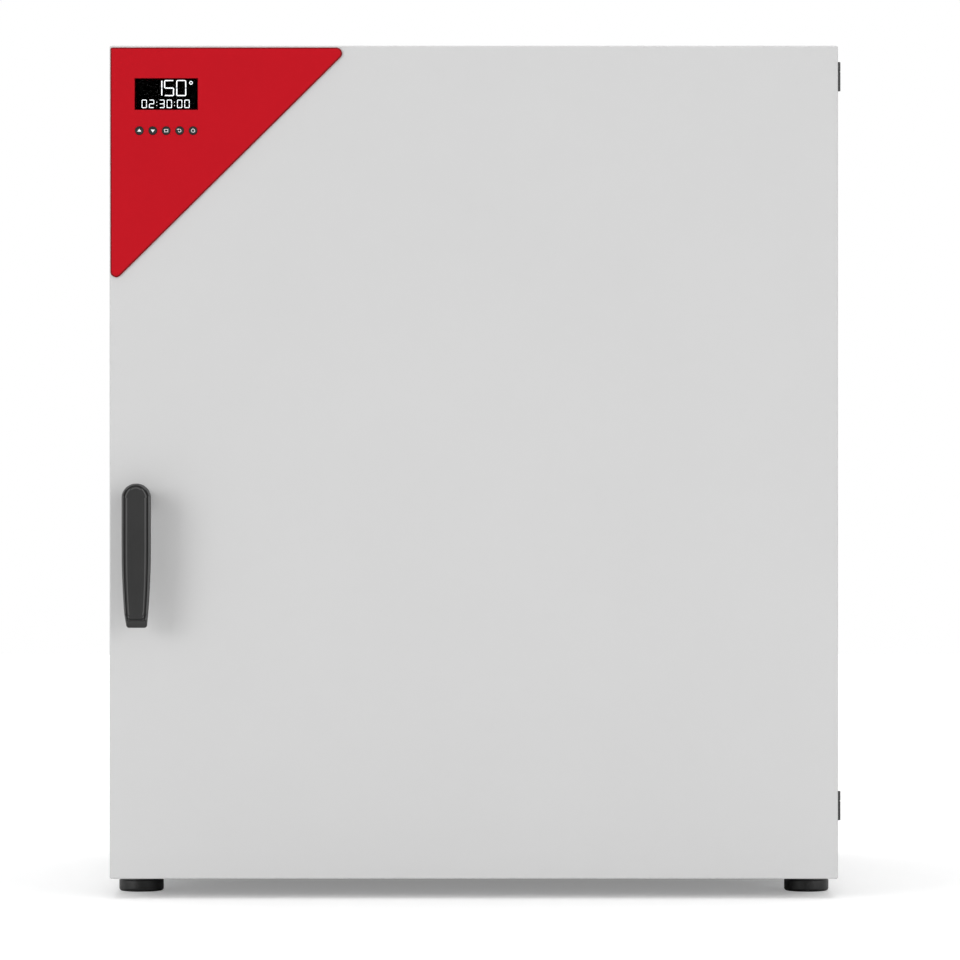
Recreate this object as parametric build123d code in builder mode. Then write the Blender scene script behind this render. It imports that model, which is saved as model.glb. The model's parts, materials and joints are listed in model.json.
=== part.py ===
from build123d import *
import math
import os

# Bench drying oven of about 260 litres with a full-size door that carries the controls.
# X runs to the right, Y to the back and Z up. The origin is on the floor, under the middle
# of the oven from the handle's front to the end of the exhaust stub. All sizes are in mm.

# Overall sizes
door_width = 820.0
door_height = 938.0
door_thickness = 52.0
door_gap = 8.0
housing_depth = 700.0
foot_height = 22.0
handle_reach = 48.0
stub_reach = 48.0

# Sheets and clearances
sheet = 1.5
liner_sheet = 1.2
panel_gap = 0.2
soft_gap = 0.3
hole_gap = 0.3
running_gap = 0.1
bend_radius = 2.5
rear_flange = 20.0
lid_side = 13.0
frame_flange = 25.0

# Chamber
side_build = 69.0
floor_build = 80.0
roof_build = 78.0
rear_insulation = 60.0
air_channel = 16.0
fan_space = 45.0
machine_depth = 80.0
liner_flange = 12.0

# Shelf rails and shelves
rail_count = 9
rail_end_inset = 70.0
ledge_width = 12.0
ledge_sheet = 2.0
ledge_opening = 13.0
ledge_front_inset = 30.0
ledge_rear_inset = 10.0
air_panel_inset = 14.0
slot_columns = 3
slot_bridge = 28.0
slot_width = 6.0
shelf_levels = (2, 5)
shelf_rod = 3.0
shelf_wire = 1.2
shelf_wire_count = 17
shelf_side_gap = 4.0
shelf_rear_gap = 7.0
shelf_front_gap = 45.0
shelf_sides = 8
shelf_bar_count = 2

# Hinges
pin_radius = 3.0
knuckle_radius = 5.5
pin_overhang = 1.0
hinge_height = 33.0
leaf_height = 11.0
hinge_low_inset = 79.2
hinge_high_inset = 30.9
leaf_reach = 41.0
hinge_gap = 0.8
hinge_screw_radius = 2.0
hinge_screw_head = 3.8
hinge_screw_head_height = 1.8
hinge_screw_insets = (15.0, 30.0)

# Door
door_flange = 56.0
inner_panel_inset = 46.0
plug_side_gap = 11.0
plug_end_gap = 22.0
plug_height = 8.5
plug_corner = 30.0
plug_slope = 30.0
door_edge_radius = 2.0
door_edge = 1.2
gasket_base = 12.0
gasket_base_height = 2.0
gasket_bulb = 6.0
gasket_offset = 4.0

# Control panel
cover_side_inset = 1.1
cover_top_inset = 2.4
cover_leg_x = 270.0
cover_leg_z = 267.5
cover_thickness = 3.5
cover_tip_radius = 6.5
cover_corner_radius = 2.0
cover_chamfer = 1.6
window_width = 71.6
window_height = 36.0
window_thickness = 2.0
window_ledge = 2.0
window_from_side = 64.0
window_from_top = 54.8
key_radius = 4.7
key_count = 5
key_pitch = 15.1
key_below_window = 41.2
key_proud = 0.6
key_collar = 12.4
key_flange_height = 1.0
key_stem = 3.6
key_travel = 0.8
key_play = 0.2
cutout_width = 88.0
cutout_height = 80.0
cutout_drop = 14.0
tray_rim = 6.0
tray_wall = 2.0
tray_depth = 22.0
board_thickness = 1.6
board_depth = 7.5
switch_height = 3.0
switch_side = 6.0

# Handle and latch
pivot_from_side = 32.7
pivot_height = 451.0
lever_radius = 16.0
lever_thickness = 16.0
lever_straight = 56.0
lever_length = 145.5
lever_end_half = 11.5
lever_end_corner = 5.0
lever_chamfer = 2.0
boss_radius = 12.0
spindle_side = 8.0
spindle_cover = 8.0
bush_wall = 3.0
bush_flange_radius = 13.0
bush_flange_height = 2.0
bush_proud = 1.3
cam_hub = 8.0
cam_reach = 22.0
cam_thickness = 4.2
cam_width = 16.0
cam_frame_gap = 2.0
keeper_gap = 0.5
keeper_width = 9.0
keeper_height = 40.0
keeper_lip = 1.5
keeper_lip_reach = 2.5

# Fan, heater and probe
wheel_radius = 90.0
wheel_depth = 28.0
wheel_disc = 1.5
wheel_front_gap = 8.0
blade_count = 10
blade_sheet = 1.6
blade_root_radius = 44.0
blade_sweep = 38.0
hub_radius = 15.0
fan_shaft_radius = 5.0
shaft_hole_radius = 9.0
grille_slots = 20
grille_radius = 44.0
grille_slot_length = 34.0
grille_slot_width = 6.0
heater_wheel_gap = 22.0
heater_tube_radius = 4.0
heater_sides = 6
heater_bend = 20.0
heater_tail_x = 20.0
heater_tail = 10.0
probe_radius = 2.5
probe_from_side = 125.0
probe_below_roof = 22.0
probe_reach = 130.0
probe_gland_radius = 8.0
probe_gland_height = 8.0

# Motor space
motor_side = 84.0
motor_corner = 12.0
motor_length = 60.0
motor_flange = 100.0
motor_flange_height = 4.0
motor_cap_radius = 28.0
motor_cap_sides = 8
bracket_side = 150.0
bracket_sheet = 2.0
bulkhead_flange = 12.0
duct_wall = 2.0
exhaust_bore_radius = 24.0
exhaust_from_side = 91.0
exhaust_below_roof = 70.0
intake_side = 36.0
intake_left_of_fan = 110.0
intake_below_fan = 112.0
spigot_flange = 80.0
spigot_flange_height = 2.5
flap_clearance = 1.0
flap_sheet = 1.5
flap_shaft_radius = 2.5
flap_setback = 34.0
actuator_width = 42.0
actuator_height = 34.0
actuator_gap = 4.0
actuator_depth = 62.0
supply_width = 160.0
supply_height = 110.0
supply_from_side = 180.0
supply_above_fan = 68.0
supply_post = 8.0
relay_count = 3
relay_pitch = 34.0
relay_width = 28.0
relay_depth = 24.0
relay_height = 16.0
transformer_side = 36.0
transformer_height = 28.0
terminal_width = 14.0
terminal_height = 12.0
inlet_from_side = 110.0
inlet_above_base = 88.0
inlet_width = 50.0
inlet_height = 30.0
inlet_flange = 5.0
inlet_flange_height = 3.0
inlet_depth = 26.0
inlet_mouth_width = 28.0
inlet_mouth_height = 19.5
inlet_mouth_depth = 20.0
inlet_blade_length = 14.0
inlet_blade_width = 2.0
inlet_blade_height = 6.0
inlet_blade_pitch = 8.0

# Rear panel
louvre_count = 12
louvre_pitch = 16.0
louvre_width = 5.0
louvre_length = 60.0
louvre_rows = 2
louvre_row_pitch = 80.0
louvre_above_base = 128.0
screw_radius = 2.0
square_hole = 5.0
screw_head_radius = 4.0
screw_head_height = 2.4
screw_length = 7.0
screw_rows = 3
screw_sides = 6
screw_side_inset = 10.0
screw_end_inset = 60.0

# Feet
foot_radius = 25.5
foot_side_inset = 28.5
foot_end_inset = 60.0
foot_edge = 3.0

# Places that follow from the sizes above
total_depth = handle_reach + door_thickness + door_gap + housing_depth + stub_reach
door_front = handle_reach - total_depth / 2
door_back = door_front + door_thickness
face = door_back + door_gap
rear = face + housing_depth
half_width = door_width / 2
low = foot_height
high = foot_height + door_height
door_middle = (low + high) / 2

frame_half = half_width - sheet - panel_gap
frame_low = low + sheet + panel_gap
frame_high = high - sheet - panel_gap
frame_middle = (frame_low + frame_high) / 2
frame_height = frame_high - frame_low

liner_half = half_width - side_build
chamber_half = liner_half - air_channel
chamber_low = low + floor_build
chamber_high = high - roof_build
chamber_height = chamber_high - chamber_low
chamber_middle = (chamber_low + chamber_high) / 2
liner_front = face + sheet
bulkhead = rear - machine_depth
liner_back = bulkhead - rear_insulation
baffle_front = liner_back - fan_space
fan_z = chamber_middle
probe_x = probe_from_side - chamber_half
probe_z = chamber_high - probe_below_roof
exhaust_x = liner_half - exhaust_from_side
exhaust_z = chamber_high - exhaust_below_roof
intake_x = -intake_left_of_fan
intake_z = fan_z - intake_below_fan
supply_x = supply_from_side - half_width
supply_z = fan_z + supply_above_fan
inlet_x = inlet_from_side - half_width
inlet_z = low + inlet_above_base

pin_x = half_width + pin_overhang
pin_y = (door_back + face) / 2
hinge_centres = (low + hinge_low_inset, high - hinge_high_inset)
bracket_height = hinge_height - leaf_height - 2 * panel_gap

cover_front = door_front - cover_thickness
cover_left = cover_side_inset - half_width
cover_top = high - cover_top_inset
window_x = window_from_side - half_width
window_z = high - window_from_top
keys_z = window_z - key_below_window
key_places = [window_x + key_pitch * (i - (key_count - 1) / 2) for i in range(key_count)]
cutout_z = window_z - cutout_drop
board_front = door_front + sheet + board_depth

pivot_x = pivot_from_side - half_width
lever_front = door_front - handle_reach
lever_back = lever_front + lever_thickness
bush_front = door_front - bush_flange_height
boss_back = bush_front - soft_gap
spindle_radius = spindle_side / 2 * math.sqrt(2)
cam_back = face - cam_frame_gap
cam_front = cam_back - cam_thickness
keeper_right = pivot_x - cam_reach - keeper_gap
exhaust_outer = exhaust_bore_radius + duct_wall
intake_outer = intake_side + 2 * duct_wall
duct_outer = 2 * exhaust_outer
flap_y = rear - flap_setback

CENTER_LOW = (Align.CENTER, Align.MIN)
CENTER_HIGH = (Align.CENTER, Align.MAX)


def facing(y, x=0.0, z=0.0):
    """Plane that is seen from the front: local x to the right, local y up, at depth y."""
    return Plane(origin=(x, y, z), x_dir=(1, 0, 0), z_dir=(0, -1, 0))


def write(piece, label):
    piece.part.label = label
    export_step(piece.part, f"parts/{label}.step")


def cut_knuckle_notches():
    """Round notches that leave the hinge knuckles free to turn."""
    for z in hinge_centres:
        with Locations((pin_x, pin_y, z)):
            Cylinder(
                knuckle_radius + hinge_gap, hinge_height + 2 * hinge_gap, mode=Mode.SUBTRACT
            )


def hinge_screw_places(offset, height):
    """Screw centres of one hinge half, whose knuckle starts at offset above the hinge's foot."""
    return [
        (pin_x - inset, z - hinge_height / 2 + offset + height / 2)
        for z in hinge_centres
        for inset in hinge_screw_insets
    ]


os.makedirs("parts", exist_ok=True)

leaf_offset = hinge_height - leaf_height
leaf_screw_places = hinge_screw_places(leaf_offset, leaf_height)
bracket_screw_places = hinge_screw_places(0.0, bracket_height)
screw_step = (door_height - 2 * screw_end_inset) / (screw_rows - 1)
panel_screw_places = [
    (side * (half_width - screw_side_inset), low + screw_end_inset + i * screw_step)
    for side in (-1, 1)
    for i in range(screw_rows)
]

# Housing: side panels, each with a flange behind which the rear panel is screwed
with BuildPart() as side_panel_left:
    side_height = door_height - lid_side - panel_gap
    with BuildSketch(Plane.XY.offset(low)) as profile:
        with BuildLine():
            Polyline(
                (-half_width, face),
                (-half_width, rear - sheet),
                (-half_width + rear_flange, rear - sheet),
                (-half_width + rear_flange, rear - 2 * sheet),
                (-half_width + sheet, rear - 2 * sheet),
                (-half_width + sheet, face),
                close=True,
            )
        make_face()
        fillet(profile.vertices().group_by(Axis.Y)[-1].sort_by(Axis.X)[0], radius=bend_radius)
    extrude(amount=side_height)
    with BuildSketch(facing(rear)):
        with Locations(*[place for place in panel_screw_places if place[0] < 0]):
            Rectangle(square_hole, square_hole)
    extrude(amount=3 * sheet, mode=Mode.SUBTRACT)
write(side_panel_left, "side_panel_left")

with BuildPart() as side_panel_right:
    mirror(side_panel_left.part, about=Plane.YZ)
    cut_knuckle_notches()
write(side_panel_right, "side_panel_right")

# Housing: lid sheet, folded down over the side panels and the rear panel
with BuildPart() as top_panel:
    with BuildSketch(facing(face)) as profile:
        with Locations((0, high)):
            Rectangle(door_width, lid_side, align=CENTER_HIGH)
        fillet(profile.vertices().group_by(Axis.Y)[-1], radius=bend_radius)
        with Locations((0, high - sheet)):
            Rectangle(door_width - 2 * sheet, lid_side, align=CENTER_HIGH, mode=Mode.SUBTRACT)
    extrude(amount=sheet - housing_depth)
    with BuildSketch(facing(rear - 2 * sheet)):
        with Locations((0, high - sheet)):
            Rectangle(2 * (half_width - rear_flange - sheet), lid_side, align=CENTER_HIGH)
    extrude(amount=-sheet)
write(top_panel, "top_panel")

# Housing: floor sheet between the side panels, folded up at its sides
with BuildPart() as base_plate:
    with BuildSketch(facing(face)):
        with Locations((0, low)):
            Rectangle(2 * frame_half, rear_flange, align=CENTER_LOW)
        with Locations((0, low + sheet)):
            Rectangle(2 * (frame_half - sheet), rear_flange, align=CENTER_LOW, mode=Mode.SUBTRACT)
    extrude(amount=2 * sheet + panel_gap - housing_depth)
    with BuildSketch(facing(face)):
        for side in (-1, 1):
            with Locations((side * frame_half, low + sheet)):
                Rectangle(4 * sheet, rear_flange, align=CENTER_LOW)
    extrude(amount=-(frame_flange + panel_gap), mode=Mode.SUBTRACT)
write(base_plate, "base_plate")

# Housing: rear panel with the louvre slots, the exhaust hole and the inlet's cut-out
with BuildPart() as rear_panel:
    with BuildSketch(facing(rear)):
        with Locations((0, door_middle)):
            Rectangle(door_width - 2 * panel_gap, door_height - 2 * panel_gap)
        with Locations((exhaust_x, exhaust_z)):
            Rectangle(
                duct_outer + 2 * hole_gap, duct_outer + 2 * hole_gap, mode=Mode.SUBTRACT
            )
        with Locations((inlet_x, inlet_z)):
            Rectangle(
                inlet_width + 2 * hole_gap, inlet_height + 2 * hole_gap, mode=Mode.SUBTRACT
            )
        with Locations((0, low + louvre_above_base + louvre_row_pitch / 2)):
            with GridLocations(louvre_pitch, louvre_row_pitch, louvre_count, louvre_rows):
                Rectangle(louvre_width, louvre_length, mode=Mode.SUBTRACT)
        with Locations(*panel_screw_places):
            Rectangle(square_hole, square_hole, mode=Mode.SUBTRACT)
    extrude(amount=sheet)
write(rear_panel, "rear_panel")

with BuildPart() as panel_screws:
    with BuildSketch(facing(rear)):
        with Locations(*panel_screw_places):
            RegularPolygon(screw_head_radius, screw_sides)
    extrude(amount=-screw_head_height)
    with BuildSketch(facing(rear)):
        with Locations(*panel_screw_places):
            RegularPolygon(screw_radius, screw_sides)
    extrude(amount=screw_length)
write(panel_screws, "panel_screws")

# Housing: face ring round the chamber's mouth, folded back at its outer edge
with BuildPart() as front_frame:
    with BuildSketch(facing(face)):
        with Locations((0, frame_middle)):
            Rectangle(2 * frame_half, frame_height)
    extrude(amount=-frame_flange)
    with BuildSketch(facing(face + sheet)):
        with Locations((0, frame_middle)):
            Rectangle(2 * (frame_half - sheet), frame_height - 2 * sheet)
    extrude(amount=-frame_flange, mode=Mode.SUBTRACT)
    with BuildSketch(facing(face)):
        with Locations((0, chamber_middle)):
            Rectangle(2 * liner_half, chamber_height)
        with Locations(*bracket_screw_places):
            Rectangle(square_hole, square_hole)
    extrude(amount=-2 * sheet, mode=Mode.SUBTRACT)
    cut_knuckle_notches()
write(front_frame, "front_frame")

# Feet: moulded discs with a bevelled lower edge
foot_places = [
    (side * (half_width - foot_side_inset), y)
    for side in (-1, 1)
    for y in (face + foot_end_inset, rear - foot_end_inset)
]
with BuildPart() as feet:
    with BuildSketch(Plane.XY):
        with Locations(*foot_places):
            Circle(foot_radius)
    extrude(amount=foot_height)
    chamfer(feet.edges().filter_by(GeomType.CIRCLE).group_by(Axis.Z)[0], length=foot_edge)
write(feet, "feet")

# Chamber liner: five stainless sheets, flanged to the back of the face ring
with BuildPart() as liner_left:
    with BuildSketch(Plane.XY.offset(chamber_low)):
        with BuildLine():
            Polyline(
                (-liner_half, liner_front),
                (-liner_half, liner_back),
                (-liner_half - liner_sheet, liner_back),
                (-liner_half - liner_sheet, liner_front + liner_sheet),
                (-liner_half - liner_flange, liner_front + liner_sheet),
                (-liner_half - liner_flange, liner_front),
                close=True,
            )
        make_face()
    extrude(amount=chamber_height)
write(liner_left, "liner_left")

with BuildPart() as liner_right:
    mirror(liner_left.part, about=Plane.YZ)
write(liner_right, "liner_right")

liner_width = 2 * (liner_half + liner_sheet)
with BuildPart() as liner_floor:
    with BuildSketch(Plane.YZ.offset(-liner_width / 2)):
        with BuildLine():
            Polyline(
                (liner_front, chamber_low),
                (liner_back, chamber_low),
                (liner_back, chamber_low - liner_sheet),
                (liner_front + liner_sheet, chamber_low - liner_sheet),
                (liner_front + liner_sheet, chamber_low - liner_flange),
                (liner_front, chamber_low - liner_flange),
                close=True,
            )
        make_face()
    extrude(amount=liner_width)
write(liner_floor, "liner_floor")

with BuildPart() as liner_roof:
    mirror(liner_floor.part, about=Plane.XY.offset(chamber_middle))
write(liner_roof, "liner_roof")


def machine_holes(gap):
    """Holes for what passes from the machine space into the chamber."""
    with Locations((0, fan_z)):
        Rectangle(2 * shaft_hole_radius, 2 * shaft_hole_radius, mode=Mode.SUBTRACT)
    with Locations((exhaust_x, exhaust_z)):
        Rectangle(duct_outer + 2 * gap, duct_outer + 2 * gap, mode=Mode.SUBTRACT)
    with Locations((intake_x, intake_z)):
        Rectangle(intake_outer + 2 * gap, intake_outer + 2 * gap, mode=Mode.SUBTRACT)
    with Locations((probe_x, probe_z)):
        Rectangle(2 * (probe_radius + gap), 2 * (probe_radius + gap), mode=Mode.SUBTRACT)
    with Locations((-heater_tail_x, heater_low), (heater_tail_x, heater_low)):
        tail_hole = 2 * (heater_tube_radius + gap)
        Rectangle(tail_hole, tail_hole, mode=Mode.SUBTRACT)


# The heater runs square round the fan wheel and bends back to the rear at its two ends
heater_y = baffle_front + fan_space / 2
heater_half = wheel_radius + heater_wheel_gap
heater_low = fan_z - heater_half
heater_high = fan_z + heater_half

with BuildPart() as liner_rear:
    with BuildSketch(facing(liner_back)):
        with Locations((0, chamber_middle)):
            Rectangle(liner_width, chamber_height + 2 * liner_sheet)
        machine_holes(hole_gap)
    extrude(amount=-liner_sheet)
write(liner_rear, "liner_rear")

with BuildPart() as insulation_jacket:
    with BuildSketch(facing(liner_front + liner_sheet + soft_gap)):
        with Locations((0, frame_middle)):
            Rectangle(
                2 * (frame_half - sheet - soft_gap), frame_height - 2 * (sheet + soft_gap)
            )
        with Locations((0, chamber_middle)):
            Rectangle(
                liner_width + 2 * soft_gap,
                chamber_height + 2 * (liner_sheet + soft_gap),
                mode=Mode.SUBTRACT,
            )
    extrude(amount=liner_front + liner_sheet + 2 * soft_gap - bulkhead)
write(insulation_jacket, "insulation_jacket")

with BuildPart() as insulation_rear:
    with BuildSketch(facing(liner_back + liner_sheet + soft_gap)):
        with Locations((0, chamber_middle)):
            Rectangle(liner_width, chamber_height + 2 * liner_sheet)
        machine_holes(4 * hole_gap)
    extrude(amount=liner_back + liner_sheet + 2 * soft_gap - bulkhead)
write(insulation_rear, "insulation_rear")

with BuildPart() as rear_bulkhead:
    bulkhead_half = frame_half - sheet - panel_gap
    bulkhead_low = low + sheet
    bulkhead_tall = high - sheet - panel_gap - bulkhead_low
    with BuildSketch(facing(bulkhead)):
        with Locations((0, bulkhead_low)):
            Rectangle(2 * bulkhead_half, bulkhead_tall, align=CENTER_LOW)
        machine_holes(hole_gap)
    extrude(amount=-sheet)
    with BuildSketch(facing(bulkhead)):
        for side in (-1, 1):
            with Locations((side * (bulkhead_half - sheet / 2), bulkhead_low)):
                Rectangle(sheet, bulkhead_tall, align=CENTER_LOW)
    extrude(amount=-bulkhead_flange)
write(rear_bulkhead, "rear_bulkhead")

# Air guides: perforated side sheets that carry the shelf rails
rail_pitch = (chamber_height - 2 * rail_end_inset) / (rail_count - 1)
rail_heights = [chamber_low + rail_end_inset + i * rail_pitch for i in range(rail_count)]
rail_front = face + ledge_front_inset
rail_back = baffle_front - ledge_rear_inset
with BuildPart() as air_panel_left:
    air_front = face + air_panel_inset
    with BuildSketch(Plane.XY.offset(chamber_low)):
        with BuildLine():
            Polyline(
                (-chamber_half, air_front),
                (-chamber_half, baffle_front),
                (-chamber_half - liner_sheet, baffle_front),
                (-chamber_half - liner_sheet, air_front + liner_sheet),
                (-liner_half, air_front + liner_sheet),
                (-liner_half, air_front),
                close=True,
            )
        make_face()
    extrude(amount=chamber_height - soft_gap)
    with BuildSketch(Plane.YZ.offset(-chamber_half)):
        for z in rail_heights:
            with Locations(
                ((rail_front + rail_back) / 2, z - ledge_sheet),
                ((rail_front + rail_back) / 2, z + ledge_opening),
            ):
                Rectangle(rail_back - rail_front, ledge_sheet, align=CENTER_LOW)
    extrude(amount=ledge_width)
    slot_middle = ((rail_front + rail_back) / 2, (rail_heights[0] + rail_heights[-1]) / 2)
    slot_pitch = (rail_back - rail_front) / slot_columns
    with BuildSketch(Plane.YZ.offset(-chamber_half)):
        with Locations((slot_middle[0], slot_middle[1] + ledge_opening / 2)):
            with GridLocations(slot_pitch, rail_pitch, slot_columns, rail_count - 1):
                Rectangle(slot_pitch - slot_bridge, slot_width)
    extrude(amount=-liner_sheet, mode=Mode.SUBTRACT)
write(air_panel_left, "air_panel_left")

with BuildPart() as air_panel_right:
    mirror(air_panel_left.part, about=Plane.YZ)
write(air_panel_right, "air_panel_right")

# Baffle in front of the fan: air goes in at the grille and leaves round its two side edges
with BuildPart() as rear_baffle:
    baffle_width = 2 * (chamber_half + liner_sheet)
    with BuildSketch(Plane.YZ.offset(-baffle_width / 2)):
        with Locations((baffle_front, chamber_low)):
            Rectangle(fan_space, chamber_height, align=(Align.MIN, Align.MIN))
        with Locations((baffle_front + liner_sheet, chamber_low + liner_sheet)):
            Rectangle(
                fan_space,
                chamber_height - 2 * liner_sheet,
                align=(Align.MIN, Align.MIN),
                mode=Mode.SUBTRACT,
            )
    extrude(amount=baffle_width)
    with BuildSketch(facing(baffle_front)):
        with Locations((0, fan_z)):
            with PolarLocations(grille_radius, grille_slots):
                Rectangle(grille_slot_length, grille_slot_width)
        with Locations((probe_x, probe_z)):
            Rectangle(2 * (probe_radius + hole_gap), 2 * (probe_radius + hole_gap))
    extrude(amount=-liner_sheet, mode=Mode.SUBTRACT)
write(rear_baffle, "rear_baffle")

# Radial fan: back disc, hub and swept blades, open to the front
wheel_front = baffle_front + wheel_front_gap
wheel_back = wheel_front + wheel_depth
with BuildPart() as fan_wheel:
    with BuildSketch(facing(wheel_back - wheel_disc, 0, fan_z)):
        Circle(wheel_radius)
    extrude(amount=-wheel_disc)
    with BuildSketch(facing(wheel_front, 0, fan_z)):
        Circle(hub_radius)
    extrude(amount=-wheel_depth)
    blade_middle = (blade_root_radius + wheel_radius) / 2
    blade_line = [
        (radius * math.cos(math.radians(angle)), radius * math.sin(math.radians(angle)))
        for radius, angle in (
            (blade_root_radius, 0.0),
            (blade_middle, blade_sweep / 3),
            (wheel_radius - blade_sheet, blade_sweep),
        )
    ]
    with BuildSketch(facing(wheel_front, 0, fan_z)):
        with PolarLocations(0, blade_count):
            with BuildLine():
                blade = Polyline(*blade_line)
                offset(blade, amount=blade_sheet, side=Side.LEFT)
            make_face()
    extrude(amount=-(wheel_depth - wheel_disc))
    with BuildSketch(facing(wheel_front, 0, fan_z)):
        Circle(fan_shaft_radius)
    extrude(amount=-wheel_depth, mode=Mode.SUBTRACT)
write(fan_wheel, "fan_wheel")

motor_front = bulkhead + sheet + bracket_sheet
shaft_end = motor_front + motor_length / 2
with BuildPart() as fan_shaft:
    with BuildSketch(facing(wheel_front, 0, fan_z)):
        Circle(fan_shaft_radius)
    extrude(amount=wheel_front - shaft_end)
write(fan_shaft, "fan_shaft")

with BuildPart() as heater_coil:
    with BuildLine() as route:
        FilletPolyline(
            (heater_tail_x, bulkhead + heater_tail, heater_low),
            (heater_tail_x, heater_y, heater_low),
            (heater_half, heater_y, heater_low),
            (heater_half, heater_y, heater_high),
            (-heater_half, heater_y, heater_high),
            (-heater_half, heater_y, heater_low),
            (-heater_tail_x, heater_y, heater_low),
            (-heater_tail_x, bulkhead + heater_tail, heater_low),
            radius=heater_bend,
        )
    with BuildSketch(facing(bulkhead + heater_tail, heater_tail_x, heater_low)):
        RegularPolygon(heater_tube_radius, heater_sides)
    sweep(path=route.wire())
write(heater_coil, "heater_coil")

with BuildPart() as temperature_probe:
    with BuildSketch(facing(baffle_front - probe_reach, probe_x, probe_z)):
        Circle(probe_radius)
    extrude(amount=baffle_front - probe_reach - bulkhead - heater_tail)
    with BuildSketch(facing(bulkhead + sheet, probe_x, probe_z)):
        RegularPolygon(probe_gland_radius, screw_sides)
    extrude(amount=-probe_gland_height)
write(temperature_probe, "temperature_probe")

# Machine space: motor on its bracket, ducts, flap drive and supply board
with BuildPart() as motor_bracket:
    with BuildSketch(facing(bulkhead + sheet, 0, fan_z)):
        Rectangle(bracket_side, bracket_side)
        Circle(shaft_hole_radius, mode=Mode.SUBTRACT)
    extrude(amount=-bracket_sheet)
write(motor_bracket, "motor_bracket")

with BuildPart() as fan_motor:
    with BuildSketch(facing(motor_front, 0, fan_z)):
        Rectangle(motor_flange, motor_flange)
    extrude(amount=-motor_flange_height)
    with BuildSketch(facing(motor_front, 0, fan_z)) as stack:
        Rectangle(motor_side, motor_side)
        chamfer(stack.vertices(), length=motor_corner)
    extrude(amount=-motor_length)
    with BuildSketch(facing(motor_front + motor_length, 0, fan_z)):
        RegularPolygon(motor_cap_radius, motor_cap_sides)
    extrude(amount=-motor_flange_height)
    with BuildSketch(facing(motor_front, 0, fan_z)):
        Circle(fan_shaft_radius + running_gap)
    extrude(amount=motor_front - shaft_end - motor_flange_height, mode=Mode.SUBTRACT)
write(fan_motor, "fan_motor")

with BuildPart() as intake_duct:
    with BuildSketch(facing(liner_back, intake_x, intake_z)):
        Rectangle(intake_outer, intake_outer)
        Rectangle(intake_side, intake_side, mode=Mode.SUBTRACT)
    extrude(amount=liner_back - bulkhead - sheet - heater_tail)
write(intake_duct, "intake_duct")

with BuildPart() as exhaust_duct:
    with BuildSketch(facing(liner_back, exhaust_x, exhaust_z)):
        Rectangle(duct_outer, duct_outer)
        Rectangle(2 * exhaust_bore_radius, 2 * exhaust_bore_radius, mode=Mode.SUBTRACT)
    extrude(amount=liner_back - rear)
    with BuildSketch(Plane.YZ.offset(exhaust_x)):
        with Locations((flap_y, exhaust_z)):
            Circle(flap_shaft_radius + running_gap)
    extrude(amount=2 * exhaust_outer, mode=Mode.SUBTRACT)
write(exhaust_duct, "exhaust_duct")

with BuildPart() as exhaust_spigot:
    with BuildSketch(facing(rear, exhaust_x, exhaust_z)):
        Rectangle(spigot_flange, spigot_flange)
    extrude(amount=-spigot_flange_height)
    with BuildSketch(facing(rear, exhaust_x, exhaust_z)):
        Circle(exhaust_outer)
    extrude(amount=-stub_reach)
    with BuildSketch(facing(rear, exhaust_x, exhaust_z)):
        Circle(exhaust_bore_radius)
    extrude(amount=-stub_reach, mode=Mode.SUBTRACT)
write(exhaust_spigot, "exhaust_spigot")

# Flap: shut across the duct at rest, on a shaft that the drive turns a quarter turn
actuator_left = exhaust_x + exhaust_outer + actuator_gap
with BuildPart() as exhaust_flap:
    with BuildSketch(facing(flap_y - flap_sheet / 2, exhaust_x, exhaust_z)):
        Rectangle(
            2 * (exhaust_bore_radius - flap_clearance),
            2 * (exhaust_bore_radius - flap_clearance),
        )
    extrude(amount=-flap_sheet)
    flap_shaft_left = exhaust_x - exhaust_bore_radius + flap_clearance
    flap_shaft_right = actuator_left + actuator_width / 2
    with BuildSketch(Plane.YZ.offset(flap_shaft_left)):
        with Locations((flap_y, exhaust_z)):
            Circle(flap_shaft_radius)
    extrude(amount=flap_shaft_right - flap_shaft_left)
write(exhaust_flap, "exhaust_flap")

with BuildPart() as flap_actuator:
    with Locations((actuator_left, bulkhead + sheet, exhaust_z)):
        Box(
            actuator_width,
            actuator_depth,
            actuator_height,
            align=(Align.MIN, Align.MIN, Align.CENTER),
        )
    with BuildSketch(Plane.YZ.offset(actuator_left)):
        with Locations((flap_y, exhaust_z)):
            Circle(flap_shaft_radius + running_gap)
    extrude(amount=actuator_width / 2 + actuator_gap, mode=Mode.SUBTRACT)
write(flap_actuator, "flap_actuator")

with BuildPart() as power_board:
    board_y = bulkhead + sheet + supply_post
    parts_y = board_y + board_thickness
    with BuildSketch(facing(board_y, supply_x, supply_z)):
        Rectangle(supply_width, supply_height)
    extrude(amount=-board_thickness)
    with BuildSketch(facing(bulkhead + sheet, supply_x, supply_z)):
        with GridLocations(
            supply_width - 2 * supply_post, supply_height - 2 * supply_post, 2, 2
        ):
            Rectangle(supply_post, supply_post)
    extrude(amount=-supply_post)
    with BuildSketch(facing(parts_y, supply_x, supply_z)):
        with Locations((-0.28 * supply_width, 0)):
            with GridLocations(1, relay_pitch, 1, relay_count):
                Rectangle(relay_width, relay_depth)
    extrude(amount=-relay_height)
    with BuildSketch(facing(parts_y, supply_x, supply_z)):
        with Locations((0.09 * supply_width, 0)):
            Rectangle(transformer_side, transformer_side)
    extrude(amount=-transformer_height)
    with BuildSketch(facing(parts_y, supply_x, supply_z)):
        with Locations((0.4 * supply_width, 0)):
            Rectangle(terminal_width, 0.8 * supply_height)
    extrude(amount=-terminal_height)
write(power_board, "power_board")

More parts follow.
